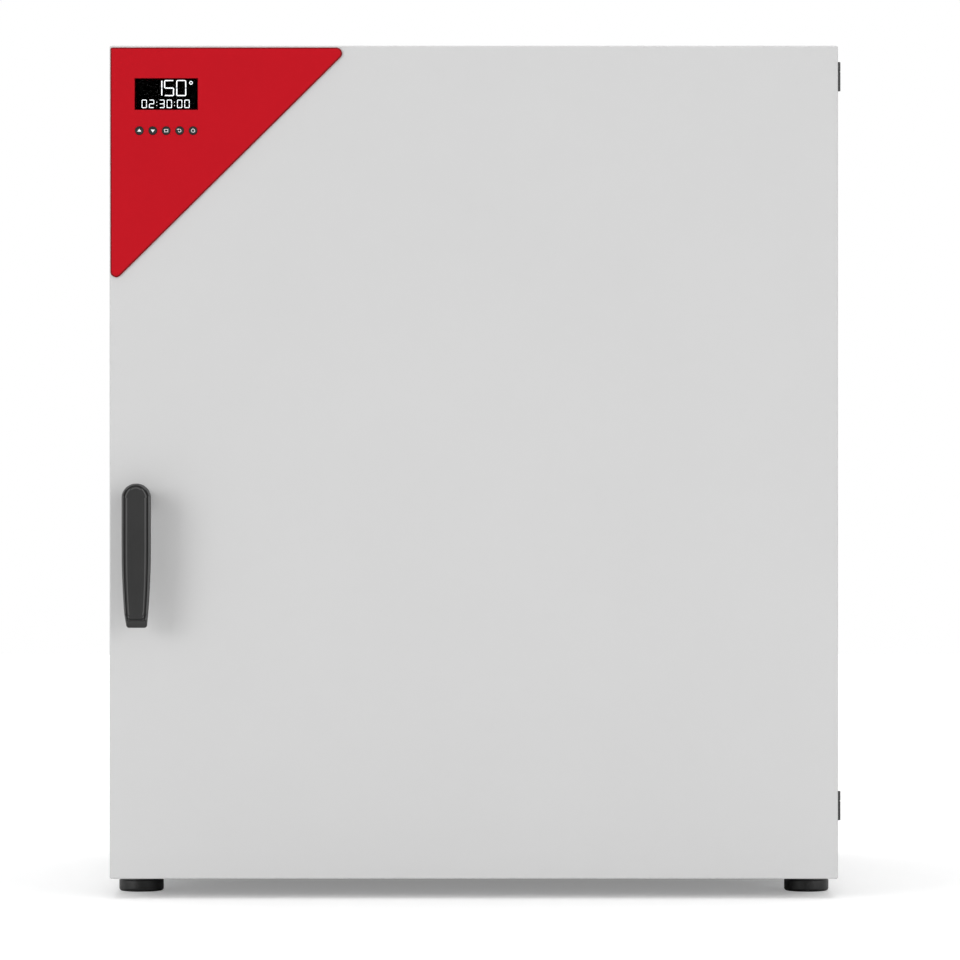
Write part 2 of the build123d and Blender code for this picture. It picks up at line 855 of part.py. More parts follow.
# Mains inlet with three blades set back in its mouth
with BuildPart() as power_inlet:
    with BuildSketch(facing(rear, inlet_x, inlet_z)):
        RectangleRounded(
            inlet_width + 2 * inlet_flange, inlet_height + 2 * inlet_flange, radius=3.0
        )
    extrude(amount=-inlet_flange_height)
    with BuildSketch(facing(rear, inlet_x, inlet_z)):
        Rectangle(inlet_width, inlet_height)
    extrude(amount=inlet_depth)
    mouth_back = rear + inlet_flange_height - inlet_mouth_depth
    with BuildSketch(facing(mouth_back, inlet_x, inlet_z)):
        Rectangle(inlet_mouth_width, inlet_mouth_height)
    extrude(amount=-inlet_mouth_depth, mode=Mode.SUBTRACT)
    with BuildSketch(facing(mouth_back, inlet_x, inlet_z)):
        with Locations(
            (-inlet_blade_pitch, -inlet_blade_pitch / 4),
            (0, inlet_blade_pitch / 4),
            (inlet_blade_pitch, -inlet_blade_pitch / 4),
        ):
            Rectangle(inlet_blade_width, inlet_blade_height)
    extrude(amount=-inlet_blade_length)
write(power_inlet, "power_inlet")

# Wire shelves: a rod frame, cross bars under the wires, and wires from front to back
shelf_half = chamber_half - shelf_side_gap - shelf_rod
shelf_back = baffle_front - shelf_rear_gap - shelf_rod
shelf_front = face + shelf_front_gap + shelf_rod
shelf_middle = (shelf_front + shelf_back) / 2
rod_turn = 180 / shelf_sides
for label, level in (("shelf_lower", shelf_levels[0]), ("shelf_upper", shelf_levels[1])):
    rod_z = rail_heights[level] + soft_gap + shelf_rod
    with BuildPart() as shelf:
        with BuildSketch(Plane.YZ.offset(-shelf_half)):
            with Locations((shelf_front, rod_z), (shelf_back, rod_z)):
                RegularPolygon(shelf_rod, shelf_sides, rotation=rod_turn, major_radius=False)
        extrude(amount=2 * shelf_half)
        with BuildSketch(facing(shelf_front - shelf_rod)):
            with Locations((-shelf_half, rod_z), (shelf_half, rod_z)):
                RegularPolygon(shelf_rod, shelf_sides, rotation=rod_turn, major_radius=False)
        extrude(amount=shelf_front - shelf_back - 2 * shelf_rod)
        with BuildSketch(facing(shelf_front)):
            with Locations((0, rod_z)):
                with GridLocations(
                    2 * shelf_half / (shelf_wire_count + 1), 1, shelf_wire_count, 1
                ):
                    Rectangle(2 * shelf_wire, 2 * shelf_wire)
        extrude(amount=shelf_front - shelf_back)
        with BuildSketch(Plane.YZ.offset(-shelf_half)):
            bar_pitch = (shelf_back - shelf_front) / (shelf_bar_count + 1)
            with Locations((shelf_middle, rod_z - shelf_rod + shelf_wire)):
                with GridLocations(bar_pitch, 1, shelf_bar_count, 1):
                    Rectangle(2 * shelf_wire, 2 * shelf_wire)
        extrude(amount=2 * shelf_half)
    write(shelf, label)

# Hinges: the housing's bracket carries the pin, and the door's leaf hangs above it
with BuildPart() as hinge_brackets:
    for z in hinge_centres:
        foot = z - hinge_height / 2
        with BuildSketch(Plane.XY.offset(foot)):
            with Locations((pin_x - leaf_reach, pin_y)):
                Rectangle(leaf_reach, face - pin_y, align=(Align.MIN, Align.MIN))
            with Locations((pin_x, pin_y)):
                Circle(knuckle_radius)
                Circle(pin_radius + panel_gap / 4, mode=Mode.SUBTRACT)
        extrude(amount=bracket_height)
    with BuildSketch(facing(pin_y)):
        with Locations(*bracket_screw_places):
            Rectangle(square_hole, square_hole)
    extrude(amount=-(face - pin_y), mode=Mode.SUBTRACT)
write(hinge_brackets, "hinge_brackets")

with BuildPart() as bracket_screws:
    with BuildSketch(facing(pin_y)):
        with Locations(*bracket_screw_places):
            RegularPolygon(hinge_screw_head, screw_sides)
    extrude(amount=hinge_screw_head_height)
    with BuildSketch(facing(pin_y)):
        with Locations(*bracket_screw_places):
            RegularPolygon(hinge_screw_radius, screw_sides)
    extrude(amount=-(face - pin_y + sheet))
write(bracket_screws, "bracket_screws")

with BuildPart() as hinge_pins:
    for z in hinge_centres:
        with BuildSketch(Plane.XY.offset(z - hinge_height / 2)):
            with Locations((pin_x, pin_y)):
                Circle(pin_radius)
        extrude(amount=hinge_height)
write(hinge_pins, "hinge_pins")

with BuildPart() as hinge_leaves:
    for z in hinge_centres:
        with BuildSketch(Plane.XY.offset(z - hinge_height / 2 + leaf_offset)):
            with Locations((pin_x - leaf_reach, pin_y)):
                Rectangle(leaf_reach, pin_y - door_back, align=(Align.MIN, Align.MAX))
            with Locations((pin_x, pin_y)):
                Circle(knuckle_radius)
                Circle(pin_radius + running_gap, mode=Mode.SUBTRACT)
        extrude(amount=leaf_height)
    with BuildSketch(facing(pin_y)):
        with Locations(*leaf_screw_places):
            Rectangle(square_hole, square_hole)
    extrude(amount=pin_y - door_back, mode=Mode.SUBTRACT)
write(hinge_leaves, "hinge_leaves")

with BuildPart() as leaf_screws:
    with BuildSketch(facing(pin_y)):
        with Locations(*leaf_screw_places):
            RegularPolygon(hinge_screw_head, screw_sides)
    extrude(amount=-hinge_screw_head_height)
    with BuildSketch(facing(pin_y)):
        with Locations(*leaf_screw_places):
            RegularPolygon(hinge_screw_radius, screw_sides)
    extrude(amount=pin_y - door_back + sheet)
write(leaf_screws, "leaf_screws")

# Door: folded outer tray, closed at the back by the pressed inner panel
with BuildPart() as door_outer_panel:
    with BuildSketch(facing(door_front)) as outline:
        with Locations((0, door_middle)):
            Rectangle(door_width, door_height)
        fillet(outline.vertices(), radius=door_edge_radius)
    extrude(amount=-door_thickness)
    chamfer(door_outer_panel.faces().sort_by(Axis.Y)[0].edges(), length=door_edge)
    with BuildSketch(facing(door_front + sheet)):
        with Locations((0, door_middle)):
            Rectangle(door_width - 2 * sheet, door_height - 2 * sheet)
    extrude(amount=-(door_thickness - 2 * sheet), mode=Mode.SUBTRACT)
    with BuildSketch(facing(door_back)):
        with Locations((0, door_middle)):
            Rectangle(door_width - 2 * door_flange, door_height - 2 * door_flange)
        with Locations(*leaf_screw_places):
            Rectangle(square_hole, square_hole)
    extrude(amount=2 * sheet, mode=Mode.SUBTRACT)
    with BuildSketch(facing(door_front)):
        with Locations((window_x, cutout_z)):
            Rectangle(cutout_width, cutout_height)
    extrude(amount=-2 * sheet, mode=Mode.SUBTRACT)
    with BuildSketch(facing(door_front, pivot_x, pivot_height)):
        Circle(spindle_radius + running_gap + bush_wall + running_gap)
    extrude(amount=-door_thickness, mode=Mode.SUBTRACT)
    cut_knuckle_notches()
write(door_outer_panel, "door_outer_panel")

with BuildPart() as door_inner_panel:
    inner_width = door_width - 2 * inner_panel_inset
    inner_height = door_height - 2 * inner_panel_inset
    with BuildSketch(facing(door_back)):
        with Locations((0, door_middle)):
            Rectangle(inner_width, inner_height)
    extrude(amount=-sheet)
    plug_width = 2 * (liner_half - plug_side_gap)
    plug_tall = chamber_height - 2 * plug_end_gap
    with BuildSketch(facing(door_back + sheet)):
        with Locations((0, chamber_middle)):
            RectangleRounded(plug_width, plug_tall, radius=plug_corner)
    extrude(amount=-plug_height, taper=plug_slope)
    with BuildSketch(facing(door_back)):
        with Locations((0, chamber_middle)):
            RectangleRounded(
                plug_width - 2 * sheet, plug_tall - 2 * sheet, radius=plug_corner - sheet
            )
    extrude(amount=-plug_height, taper=plug_slope, mode=Mode.SUBTRACT)
write(door_inner_panel, "door_inner_panel")

tray_width = cutout_width + 2 * tray_rim
tray_height = cutout_height + 2 * tray_rim
with BuildPart() as door_insulation:
    with BuildSketch(facing(door_front + sheet + soft_gap)):
        with Locations((0, door_middle)):
            Rectangle(
                door_width - 2 * (sheet + soft_gap), door_height - 2 * (sheet + soft_gap)
            )
        with Locations((pivot_x, pivot_height)):
            Circle(spindle_radius + bush_wall + 1.0, mode=Mode.SUBTRACT)
    extrude(amount=-(door_thickness - 2 * (sheet + soft_gap)))
    with BuildSketch(facing(door_front)):
        with Locations((window_x, cutout_z)):
            Rectangle(tray_width + 2 * soft_gap, tray_height + 2 * soft_gap)
    extrude(amount=-(sheet + tray_depth + soft_gap), mode=Mode.SUBTRACT)
write(door_insulation, "door_insulation")

# Silicone seal on the face ring: a flat base with a rounded bulb that meets the door
with BuildPart() as door_gasket:
    gasket_width = 2 * (liner_half + gasket_offset)
    gasket_height = chamber_height + 2 * gasket_offset
    bulb_inset = (gasket_base - gasket_bulb) / 2
    with BuildSketch(facing(face)):
        with Locations((0, chamber_middle)):
            Rectangle(gasket_width + 2 * gasket_base, gasket_height + 2 * gasket_base)
            Rectangle(gasket_width, gasket_height, mode=Mode.SUBTRACT)
    extrude(amount=gasket_base_height)
    with BuildSketch(facing(face - gasket_base_height)):
        with Locations((0, chamber_middle)):
            RectangleRounded(
                gasket_width + 2 * (gasket_base - bulb_inset),
                gasket_height + 2 * (gasket_base - bulb_inset),
                radius=17.0,
            )
            RectangleRounded(
                gasket_width + 2 * bulb_inset,
                gasket_height + 2 * bulb_inset,
                radius=11.0,
                mode=Mode.SUBTRACT,
            )
    extrude(amount=door_gap - sheet - gasket_base_height - soft_gap)
write(door_gasket, "door_gasket")

# Control cover: a raised triangular plate in the door's upper left corner
with BuildPart() as control_cover:
    with BuildSketch(facing(door_front)) as outline:
        with BuildLine():
            Polyline(
                (cover_left, cover_top),
                (cover_left + cover_leg_x, cover_top),
                (cover_left, cover_top - cover_leg_z),
                close=True,
            )
        make_face()
        right_tip = outline.vertices().sort_by(Axis.X)[-1]
        low_tip = outline.vertices().sort_by(Axis.Y)[0]
        fillet([right_tip, low_tip], radius=cover_tip_radius)
        fillet(
            outline.vertices().group_by(Axis.Y)[-1].sort_by(Axis.X)[0],
            radius=cover_corner_radius,
        )
    extrude(amount=cover_thickness)
    chamfer(control_cover.faces().sort_by(Axis.Y)[0].edges(), length=cover_chamfer)
    with BuildSketch(facing(cover_front, window_x, window_z)):
        Rectangle(window_width, window_height)
    extrude(amount=-window_thickness, mode=Mode.SUBTRACT)
    with BuildSketch(facing(cover_front, window_x, window_z)):
        Rectangle(window_width - 2 * window_ledge, window_height - 2 * window_ledge)
    extrude(amount=-cover_thickness, mode=Mode.SUBTRACT)
    with BuildSketch(facing(cover_front)):
        with Locations(*[(x, keys_z) for x in key_places]):
            Circle(key_radius + hole_gap)
    extrude(amount=-cover_thickness, mode=Mode.SUBTRACT)
write(control_cover, "control_cover")

with BuildPart() as display_window:
    with BuildSketch(facing(cover_front, window_x, window_z)):
        Rectangle(window_width - 2 * running_gap, window_height - 2 * running_gap)
    extrude(amount=-window_thickness)
write(display_window, "display_window")

with BuildPart() as display_module:
    with BuildSketch(facing(board_front, window_x, window_z)):
        Rectangle(
            window_width - 2 * window_ledge - 2 * hole_gap,
            window_height - 2 * window_ledge - 2 * hole_gap,
        )
    extrude(amount=board_front - door_front - hole_gap)
write(display_module, "display_module")

with BuildPart() as controller_board:
    with BuildSketch(facing(board_front, window_x, cutout_z)):
        Rectangle(cutout_width - 2 * tray_wall, cutout_height - 2 * tray_wall)
    extrude(amount=-board_thickness)
    with BuildSketch(facing(board_front)):
        with Locations(*[(x, keys_z) for x in key_places]):
            Rectangle(switch_side, switch_side)
    extrude(amount=switch_height)
write(controller_board, "controller_board")

with BuildPart() as controller_tray:
    tray_front = door_front + sheet
    with BuildSketch(facing(tray_front, window_x, cutout_z)):
        Rectangle(tray_width, tray_height)
    extrude(amount=-tray_depth)
    with BuildSketch(facing(tray_front, window_x, cutout_z)):
        Rectangle(tray_width - 2 * tray_wall, tray_height - 2 * tray_wall)
    extrude(amount=tray_wall - tray_depth, mode=Mode.SUBTRACT)
    with BuildSketch(facing(board_front + board_thickness, window_x, cutout_z)):
        with GridLocations(
            cutout_width - 4 * tray_rim, cutout_height - 4 * tray_rim, 2, 2
        ):
            Rectangle(tray_rim, tray_rim)
    extrude(amount=board_front + board_thickness - tray_front - tray_depth + tray_wall)
write(controller_tray, "controller_tray")

# Keys: each cap has a collar behind the cover and a stem that ends short of its switch
key_names = ("key_up", "key_down", "key_enter", "key_back", "key_standby")
key_back = door_front + running_gap
for label, x in zip(key_names, key_places):
    with BuildPart() as key:
        with BuildSketch(facing(key_back, x, keys_z)):
            Circle(key_radius)
        extrude(amount=key_back - cover_front + key_proud)
        with BuildSketch(facing(key_back, x, keys_z)):
            Rectangle(key_collar, key_collar)
        extrude(amount=-key_flange_height)
        with BuildSketch(facing(key_back, x, keys_z)):
            Rectangle(key_stem, key_stem)
        extrude(amount=key_back - board_front + switch_height + key_travel + key_play)
    write(key, label)

# Handle: lever with a turning boss, spindle through the door, and the latch cam behind it
with BuildPart() as handle_lever:
    with BuildSketch(facing(lever_back, pivot_x, pivot_height)) as outline:
        with BuildLine():
            top = ThreePointArc((-lever_radius, 0), (0, lever_radius), (lever_radius, 0))
            side = Line(top @ 1, (lever_radius, -lever_straight))
            taper = TangentArc(side @ 1, (lever_end_half, -lever_length), tangent=(0, -1))
            end = Line(taper @ 1, (-lever_end_half, -lever_length))
            other = TangentArc(
                (-lever_radius, -lever_straight), end @ 1, tangent=(0, -1)
            )
            Line(other @ 0, top @ 0)
        make_face()
        fillet(outline.vertices().group_by(Axis.Y)[0], radius=lever_end_corner)
    extrude(amount=lever_thickness)
    rim = handle_lever.faces().sort_by(Axis.Y)[0].edges()
    chamfer(rim, length=lever_chamfer)
    with BuildSketch(facing(lever_back, pivot_x, pivot_height)):
        Circle(boss_radius)
    extrude(amount=lever_back - boss_back)
    with BuildSketch(facing(boss_back, pivot_x, pivot_height)):
        Rectangle(spindle_side, spindle_side)
    extrude(amount=boss_back - lever_back + spindle_cover, mode=Mode.SUBTRACT)
write(handle_lever, "handle_lever")

spindle_front = lever_back - spindle_cover
with BuildPart() as handle_spindle:
    with BuildSketch(facing(spindle_front, pivot_x, pivot_height)):
        Rectangle(spindle_side, spindle_side)
    extrude(amount=spindle_front - cam_back)
write(handle_spindle, "handle_spindle")

with BuildPart() as handle_bush:
    bush_back = door_back + bush_proud
    with BuildSketch(facing(bush_front, pivot_x, pivot_height)):
        Circle(bush_flange_radius)
    extrude(amount=-bush_flange_height)
    with BuildSketch(facing(bush_front, pivot_x, pivot_height)):
        Circle(spindle_radius + running_gap + bush_wall)
    extrude(amount=bush_front - bush_back)
    with BuildSketch(facing(bush_front, pivot_x, pivot_height)):
        Circle(spindle_radius + running_gap)
    extrude(amount=bush_front - bush_back, mode=Mode.SUBTRACT)
write(handle_bush, "handle_bush")

with BuildPart() as latch_cam:
    with BuildSketch(facing(cam_front, pivot_x, pivot_height)):
        Rectangle(cam_reach, cam_width, align=(Align.MAX, Align.CENTER))
        Circle(cam_reach, mode=Mode.INTERSECT)
        Rectangle(2 * cam_hub, 2 * cam_hub)
        Rectangle(spindle_side, spindle_side, mode=Mode.SUBTRACT)
    extrude(amount=-cam_thickness)
write(latch_cam, "latch_cam")

# Striker on the face ring, hooked over the path of the cam
with BuildPart() as latch_keeper:
    with BuildSketch(Plane.XY.offset(pivot_height - keeper_height / 2)):
        with BuildLine():
            Polyline(
                (keeper_right, cam_front),
                (keeper_right - keeper_width, cam_front),
                (keeper_right - keeper_width, face),
                (keeper_right, face),
                (keeper_right, face - keeper_lip),
                (keeper_right - keeper_lip_reach, face - keeper_lip),
                (keeper_right - keeper_lip_reach, cam_front + keeper_lip),
                (keeper_right, cam_front + keeper_lip),
                close=True,
            )
        make_face()
    extrude(amount=keeper_height)
write(latch_keeper, "latch_keeper")
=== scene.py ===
import json
import math

import bpy
from mathutils import Matrix, Vector


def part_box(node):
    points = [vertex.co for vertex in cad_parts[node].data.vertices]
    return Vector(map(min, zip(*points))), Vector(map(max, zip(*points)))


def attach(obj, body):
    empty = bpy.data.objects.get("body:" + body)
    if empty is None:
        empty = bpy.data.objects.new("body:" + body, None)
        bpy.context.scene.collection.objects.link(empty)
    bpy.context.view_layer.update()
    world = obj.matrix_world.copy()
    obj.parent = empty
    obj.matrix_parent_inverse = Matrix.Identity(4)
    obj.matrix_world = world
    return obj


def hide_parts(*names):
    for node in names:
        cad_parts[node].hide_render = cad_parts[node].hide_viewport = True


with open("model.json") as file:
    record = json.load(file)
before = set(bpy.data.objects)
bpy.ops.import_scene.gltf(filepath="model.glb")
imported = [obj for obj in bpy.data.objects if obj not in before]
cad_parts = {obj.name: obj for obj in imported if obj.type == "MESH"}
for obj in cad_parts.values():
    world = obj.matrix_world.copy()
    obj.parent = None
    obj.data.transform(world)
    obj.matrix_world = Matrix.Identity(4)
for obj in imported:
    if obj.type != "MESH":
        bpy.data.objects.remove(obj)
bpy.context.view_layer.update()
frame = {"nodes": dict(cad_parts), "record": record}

# Places that the metal parts give, in metres
HOUSING_FACE = -0.320
REAR = 0.380
PIVOT = (-0.3773, 0.451)
HINGE_PIN = (0.411, -0.324)
HINGE_MIDDLES = (0.1012, 0.9291)
KEYS_Z = 0.864
KEY_PLACES = (-0.3762, -0.3611, -0.346, -0.3309, -0.3158)
FAN_Z = 0.492
# Distance within which two places count as the same
TINY = 0.0001


# Finishes


def new_finish(name, colour, roughness, metallic=0.0, specular=0.5):
    """A material with its even values set on the shader itself."""
    material = bpy.data.materials.new(name)
    material.use_nodes = True
    shader = material.node_tree.nodes["Principled BSDF"]
    shader.inputs["Base Color"].default_value = (*colour, 1.0)
    shader.inputs["Roughness"].default_value = roughness
    shader.inputs["Metallic"].default_value = metallic
    shader.inputs["Specular IOR Level"].default_value = specular
    return material, shader


def place_pattern(material, stretch=(1.0, 1.0, 1.0)):
    """Object coordinates through a mapping, so that a pattern stays with its piece."""
    nodes, links = material.node_tree.nodes, material.node_tree.links
    source = nodes.new("ShaderNodeTexCoord")
    mapping = nodes.new("ShaderNodeMapping")
    mapping.inputs["Scale"].default_value = stretch
    links.new(source.outputs["Object"], mapping.inputs["Vector"])
    return mapping.outputs["Vector"]


def cloud(material, place, scale, detail=3.0, distortion=0.0):
    nodes, links = material.node_tree.nodes, material.node_tree.links
    noise = nodes.new("ShaderNodeTexNoise")
    noise.inputs["Scale"].default_value = scale
    noise.inputs["Detail"].default_value = detail
    noise.inputs["Distortion"].default_value = distortion
    links.new(place, noise.inputs["Vector"])
    return noise.outputs["Fac"]


def shade_between(material, factor, dark, light, low=0.3, high=0.7):
    """Colours from dark to light as the factor goes from low to high."""
    nodes, links = material.node_tree.nodes, material.node_tree.links
    ramp = nodes.new("ShaderNodeValToRGB")
    ramp.color_ramp.elements[0].position = low
    ramp.color_ramp.elements[0].color = (*dark, 1.0)
    ramp.color_ramp.elements[1].position = high
    ramp.color_ramp.elements[1].color = (*light, 1.0)
    links.new(factor, ramp.inputs["Fac"])
    return ramp.outputs["Color"]


def value_between(material, factor, low, high):
    nodes, links = material.node_tree.nodes, material.node_tree.links
    span = nodes.new("ShaderNodeMapRange")
    span.inputs["To Min"].default_value = low
    span.inputs["To Max"].default_value = high
    links.new(factor, span.inputs["Value"])
    return span.outputs["Result"]


def relief(material, height, strength, distance):
    nodes, links = material.node_tree.nodes, material.node_tree.links
    bump = nodes.new("ShaderNodeBump")
    bump.inputs["Strength"].default_value = strength
    bump.inputs["Distance"].default_value = distance
    links.new(height, bump.inputs["Height"])
    return bump.outputs["Normal"]


def tint(colour, factor):
    return tuple(min(1.0, channel * factor) for channel in colour)


def embossed_steel(name, colour, roughness, metallic, depth=0.05, specular=0.5):
    """Fine embossed sheet with a satin surface, slightly uneven."""
    material, shader = new_finish(name, colour, roughness, metallic, specular)
    links = material.node_tree.links
    place = place_pattern(material)
    grain = cloud(material, place, 900.0, 2.0)
    patches = cloud(material, place, 7.0, 2.0)
    shade = shade_between(material, patches, tint(colour, 0.993), tint(colour, 1.004))
    links.new(shade, shader.inputs["Base Color"])
    rough = value_between(material, grain, roughness - 0.05, roughness + 0.05)
    links.new(rough, shader.inputs["Roughness"])
    links.new(relief(material, grain, depth, 0.0004), shader.inputs["Normal"])
    return material


def brushed_steel(name, colour, roughness, along, depth=0.06, contrast=0.06):
    """Rolled or brushed sheet with fine lines along one axis."""
    material, shader = new_finish(name, colour, roughness, 1.0)
    links = material.node_tree.links
    stretch = [700.0, 700.0, 700.0]
    stretch["XYZ".index(along)] = 9.0
    lines = cloud(material, place_pattern(material, stretch), 1.0, 3.0)
    smears = cloud(material, place_pattern(material), 5.0, 1.0)
    shade = shade_between(
        material, lines, tint(colour, 1 - contrast), tint(colour, 1 + contrast)
    )
    links.new(shade, shader.inputs["Base Color"])
    rough = value_between(material, smears, roughness - 0.02, roughness + 0.03)
    links.new(rough, shader.inputs["Roughness"])
    links.new(relief(material, lines, depth, 0.0003), shader.inputs["Normal"])
    return material


def zinc_coated(name, colour):
    """Galvanised sheet with the crystals of its coating."""
    material, shader = new_finish(name, colour, 0.42, 0.85)
    nodes, links = material.node_tree.nodes, material.node_tree.links
    place = place_pattern(material)
    crystals = nodes.new("ShaderNodeTexVoronoi")
    crystals.inputs["Scale"].default_value = 190.0
    crystals.inputs["Randomness"].default_value = 1.0
    links.new(place, crystals.inputs["Vector"])
    grey = nodes.new("ShaderNodeSeparateColor")
    links.new(crystals.outputs["Color"], grey.inputs["Color"])
    shade = shade_between(
        material, grey.outputs["Red"], tint(colour, 0.93), tint(colour, 1.04), 0.0, 1.0
    )
    links.new(shade, shader.inputs["Base Color"])
    rough = value_between(material, grey.outputs["Green"], 0.42, 0.5)
    links.new(rough, shader.inputs["Roughness"])
    fine = cloud(material, place, 400.0, 2.0)
    links.new(relief(material, fine, 0.05, 0.0003), shader.inputs["Normal"])
    return material


def moulded(
    name, colour, roughness, grain=1200.0, depth=0.08, specular=0.5, wear=(0.9, 1.08)
):
    """Moulded plastic or rubber with a fine eroded grain and slightly uneven wear."""
    material, shader = new_finish(name, colour, roughness, 0.0, specular)
    links = material.node_tree.links
    place = place_pattern(material)
    erosion = cloud(material, place, grain, 2.0)
    handled = cloud(material, place, 25.0, 3.0)
    shade = shade_between(material, handled, tint(colour, wear[0]), tint(colour, wear[1]))
    links.new(shade, shader.inputs["Base Color"])
    rough = value_between(material, erosion, roughness - 0.06, roughness + 0.06)
    links.new(rough, shader.inputs["Roughness"])
    links.new(relief(material, erosion, depth, 0.0003), shader.inputs["Normal"])
    return material


def fibre_wool(name, colour):
    """Pressed mineral wool with short fibres in layers."""
    material, shader = new_finish(name, colour, 0.95, 0.0, 0.1)
    links = material.node_tree.links
    fibres = cloud(material, place_pattern(material, (160.0, 160.0, 900.0)), 1.0, 5.0, 1.2)
    shade = shade_between(material, fibres, tint(colour, 0.72), tint(colour, 1.15))
    links.new(shade, shader.inputs["Base Color"])
    links.new(relief(material, fibres, 0.6, 0.002), shader.inputs["Normal"])
    return material


def scaled_metal(name, cold, hot, roughness):
    """Metal that heat has darkened in soft bands."""
    material, shader = new_finish(name, cold, roughness, 0.9)
    links = material.node_tree.links
    place = place_pattern(material)
    bands = cloud(material, place, 14.0, 4.0, 1.0)
    links.new(shade_between(material, bands, cold, hot), shader.inputs["Base Color"])
    links.new(
        relief(material, cloud(material, place, 700.0, 2.0), 0.15, 0.0004),
        shader.inputs["Normal"],
    )
    return material


def clear_pane(name, colour):
    """Clear plastic, coated so that it hardly reflects."""
    material, shader = new_finish(name, colour, 0.03, 0.0, 0.5)
    shader.inputs["Transmission Weight"].default_value = 1.0
    shader.inputs["IOR"].default_value = 1.02
    return material


def lit_segment(name, colour, strength):
    material, shader = new_finish(name, colour, 0.4)
    shader.inputs["Emission Color"].default_value = (*colour, 1.0)
    shader.inputs["Emission Strength"].default_value = strength
    return material


FINISHES = {
    "door_steel": embossed_steel("door_steel", (0.615, 0.615, 0.615), 0.5, 0.0),
    "housing_steel": embossed_steel(
        "housing_steel", (0.53, 0.53, 0.535), 0.55, 0.0, 0.09, 0.2
    ),
    "zinc_sheet": zinc_coated("zinc_sheet", (0.62, 0.64, 0.65)),
    "frame_steel": brushed_steel("frame_steel", (0.58, 0.58, 0.59), 0.36, "Z", 0.03, 0.02),
    "chamber_steel": brushed_steel(
        "chamber_steel", (0.64, 0.645, 0.65), 0.36, "Y", 0.03, 0.03
    ),
    "shelf_wire": brushed_steel("shelf_wire", (0.72, 0.72, 0.73), 0.2, "Y", 0.02),
    "mineral_wool": fibre_wool("mineral_wool", (0.48, 0.42, 0.26)),
    "seal_silicone": moulded("seal_silicone", (0.50, 0.50, 0.49), 0.5, 600.0, 0.05),
    "heater_sheath": scaled_metal(
        "heater_sheath", (0.16, 0.14, 0.12), (0.33, 0.27, 0.22), 0.45
    ),
    "motor_cast": moulded("motor_cast", (0.18, 0.19, 0.20), 0.5, 500.0, 0.3),
    "fan_steel": brushed_steel("fan_steel", (0.58, 0.58, 0.58), 0.35, "X"),
    "duct_steel": brushed_steel("duct_steel", (0.62, 0.62, 0.63), 0.3, "X"),
    "drive_plastic": moulded("drive_plastic", (0.11, 0.12, 0.13), 0.45),
    "board_laminate": moulded("board_laminate", (0.025, 0.16, 0.06), 0.35, 300.0, 0.05),
    "latch_steel": brushed_steel("latch_steel", (0.55, 0.55, 0.56), 0.36, "Z"),
    "hinge_black": moulded("hinge_black", (0.012, 0.012, 0.013), 0.42, 800.0, 0.1),
    "screw_steel": brushed_steel("screw_steel", (0.55, 0.55, 0.56), 0.3, "X"),
    "foot_rubber": moulded("foot_rubber", (0.006, 0.006, 0.006), 0.45, 900.0, 0.12),
    "panel_red": moulded(
        "panel_red", (0.505, 0.0045, 0.0122), 0.5, 1400.0, 0.02, 0.08, (0.985, 1.01)
    ),
    "window_clear": clear_pane("window_clear", (0.92, 0.92, 0.93)),
    "display_black": moulded(
        "display_black", (0.0006, 0.0006, 0.0006), 0.6, 900.0, 0.0, 0.02
    ),
    "key_black": moulded("key_black", (0.008, 0.008, 0.008), 0.45, 1200.0, 0.04, 0.3),
    "handle_dark": moulded("handle_dark", (0.027, 0.027, 0.027), 0.6, 1300.0, 0.06, 0.2),
}
# Darker red for the control plate's bevel and side walls: painted shade, where the rim falls in
# shadow
PANEL_PAINTED_SHADE = moulded("panel_red_painted_shade", (0.23, 0.004, 0.007), 0.5, 1400.0, 0.02, 0.1)
# Darker grey of painted shade, on the lever's sides, its downward end, its groove and the boss
HANDLE_PAINTED_SHADE = moulded("handle_dark_painted_shade", (0.012, 0.012, 0.012), 0.5, 1300.0, 0.05, 0.3)
# Lighter grey of painted highlight, on the lever's rim and a line inside it
HANDLE_PAINTED_HIGHLIGHT = moulded("handle_dark_painted_highlight", (0.068, 0.068, 0.068), 0.5, 1300.0, 0.05, 0.3)
SYMBOL_WHITE = moulded("symbol_white", (0.9, 0.9, 0.9), 0.5, 1200.0, 0.02)
SEGMENT_WHITE = lit_segment("segment_white", (0.85, 0.88, 0.9), 0.8)

NODE_SLOTS = {row["node"]: row["material_slot"] for row in frame["record"]["subparts"]}
for node_name in frame["nodes"]:
    node = frame["nodes"][node_name]
    node.data.materials.clear()
    node.data.materials.append(FINISHES[NODE_SLOTS[node_name]])


# Making and finishing pieces


def clear_selection():
    if bpy.context.object and bpy.context.object.mode != "OBJECT":
        bpy.ops.object.mode_set(mode="OBJECT")
    bpy.ops.object.select_all(action="DESELECT")


def pick(piece):
    clear_selection()
    piece.select_set(True)
    bpy.context.view_layer.objects.active = piece


def apply_place(piece):
    pick(piece)
    bpy.ops.object.transform_apply(location=True, rotation=True, scale=True)


def apply_modifier(piece, kind, **values):
    pick(piece)
    modifier = piece.modifiers.new(kind.lower(), kind)
    for key, value in values.items():
        setattr(modifier, key, value)
    bpy.ops.object.modifier_apply(modifier=modifier.name)


def select_parts(piece, kind, wanted):
    """In edit mode, selects the vertices, edges or faces for which wanted is true."""
    pick(piece)
    parts = {"VERT": piece.data.vertices, "EDGE": piece.data.edges, "FACE": piece.data.polygons}
    for group in parts.values():
        for part in group:
            part.select = False
    for part in parts[kind]:
        part.select = wanted(part)
    bpy.ops.object.mode_set(mode="EDIT")
    bpy.ops.mesh.select_mode(type=kind)


def leave_edit():
    bpy.ops.object.mode_set(mode="OBJECT")


def edge_middle(piece, edge):
    first, second = (piece.data.vertices[i].co for i in edge.vertices)
    return (first + second) / 2


def edge_run(piece, edge):
    first, second = (piece.data.vertices[i].co for i in edge.vertices)
    return (second - first).normalized()


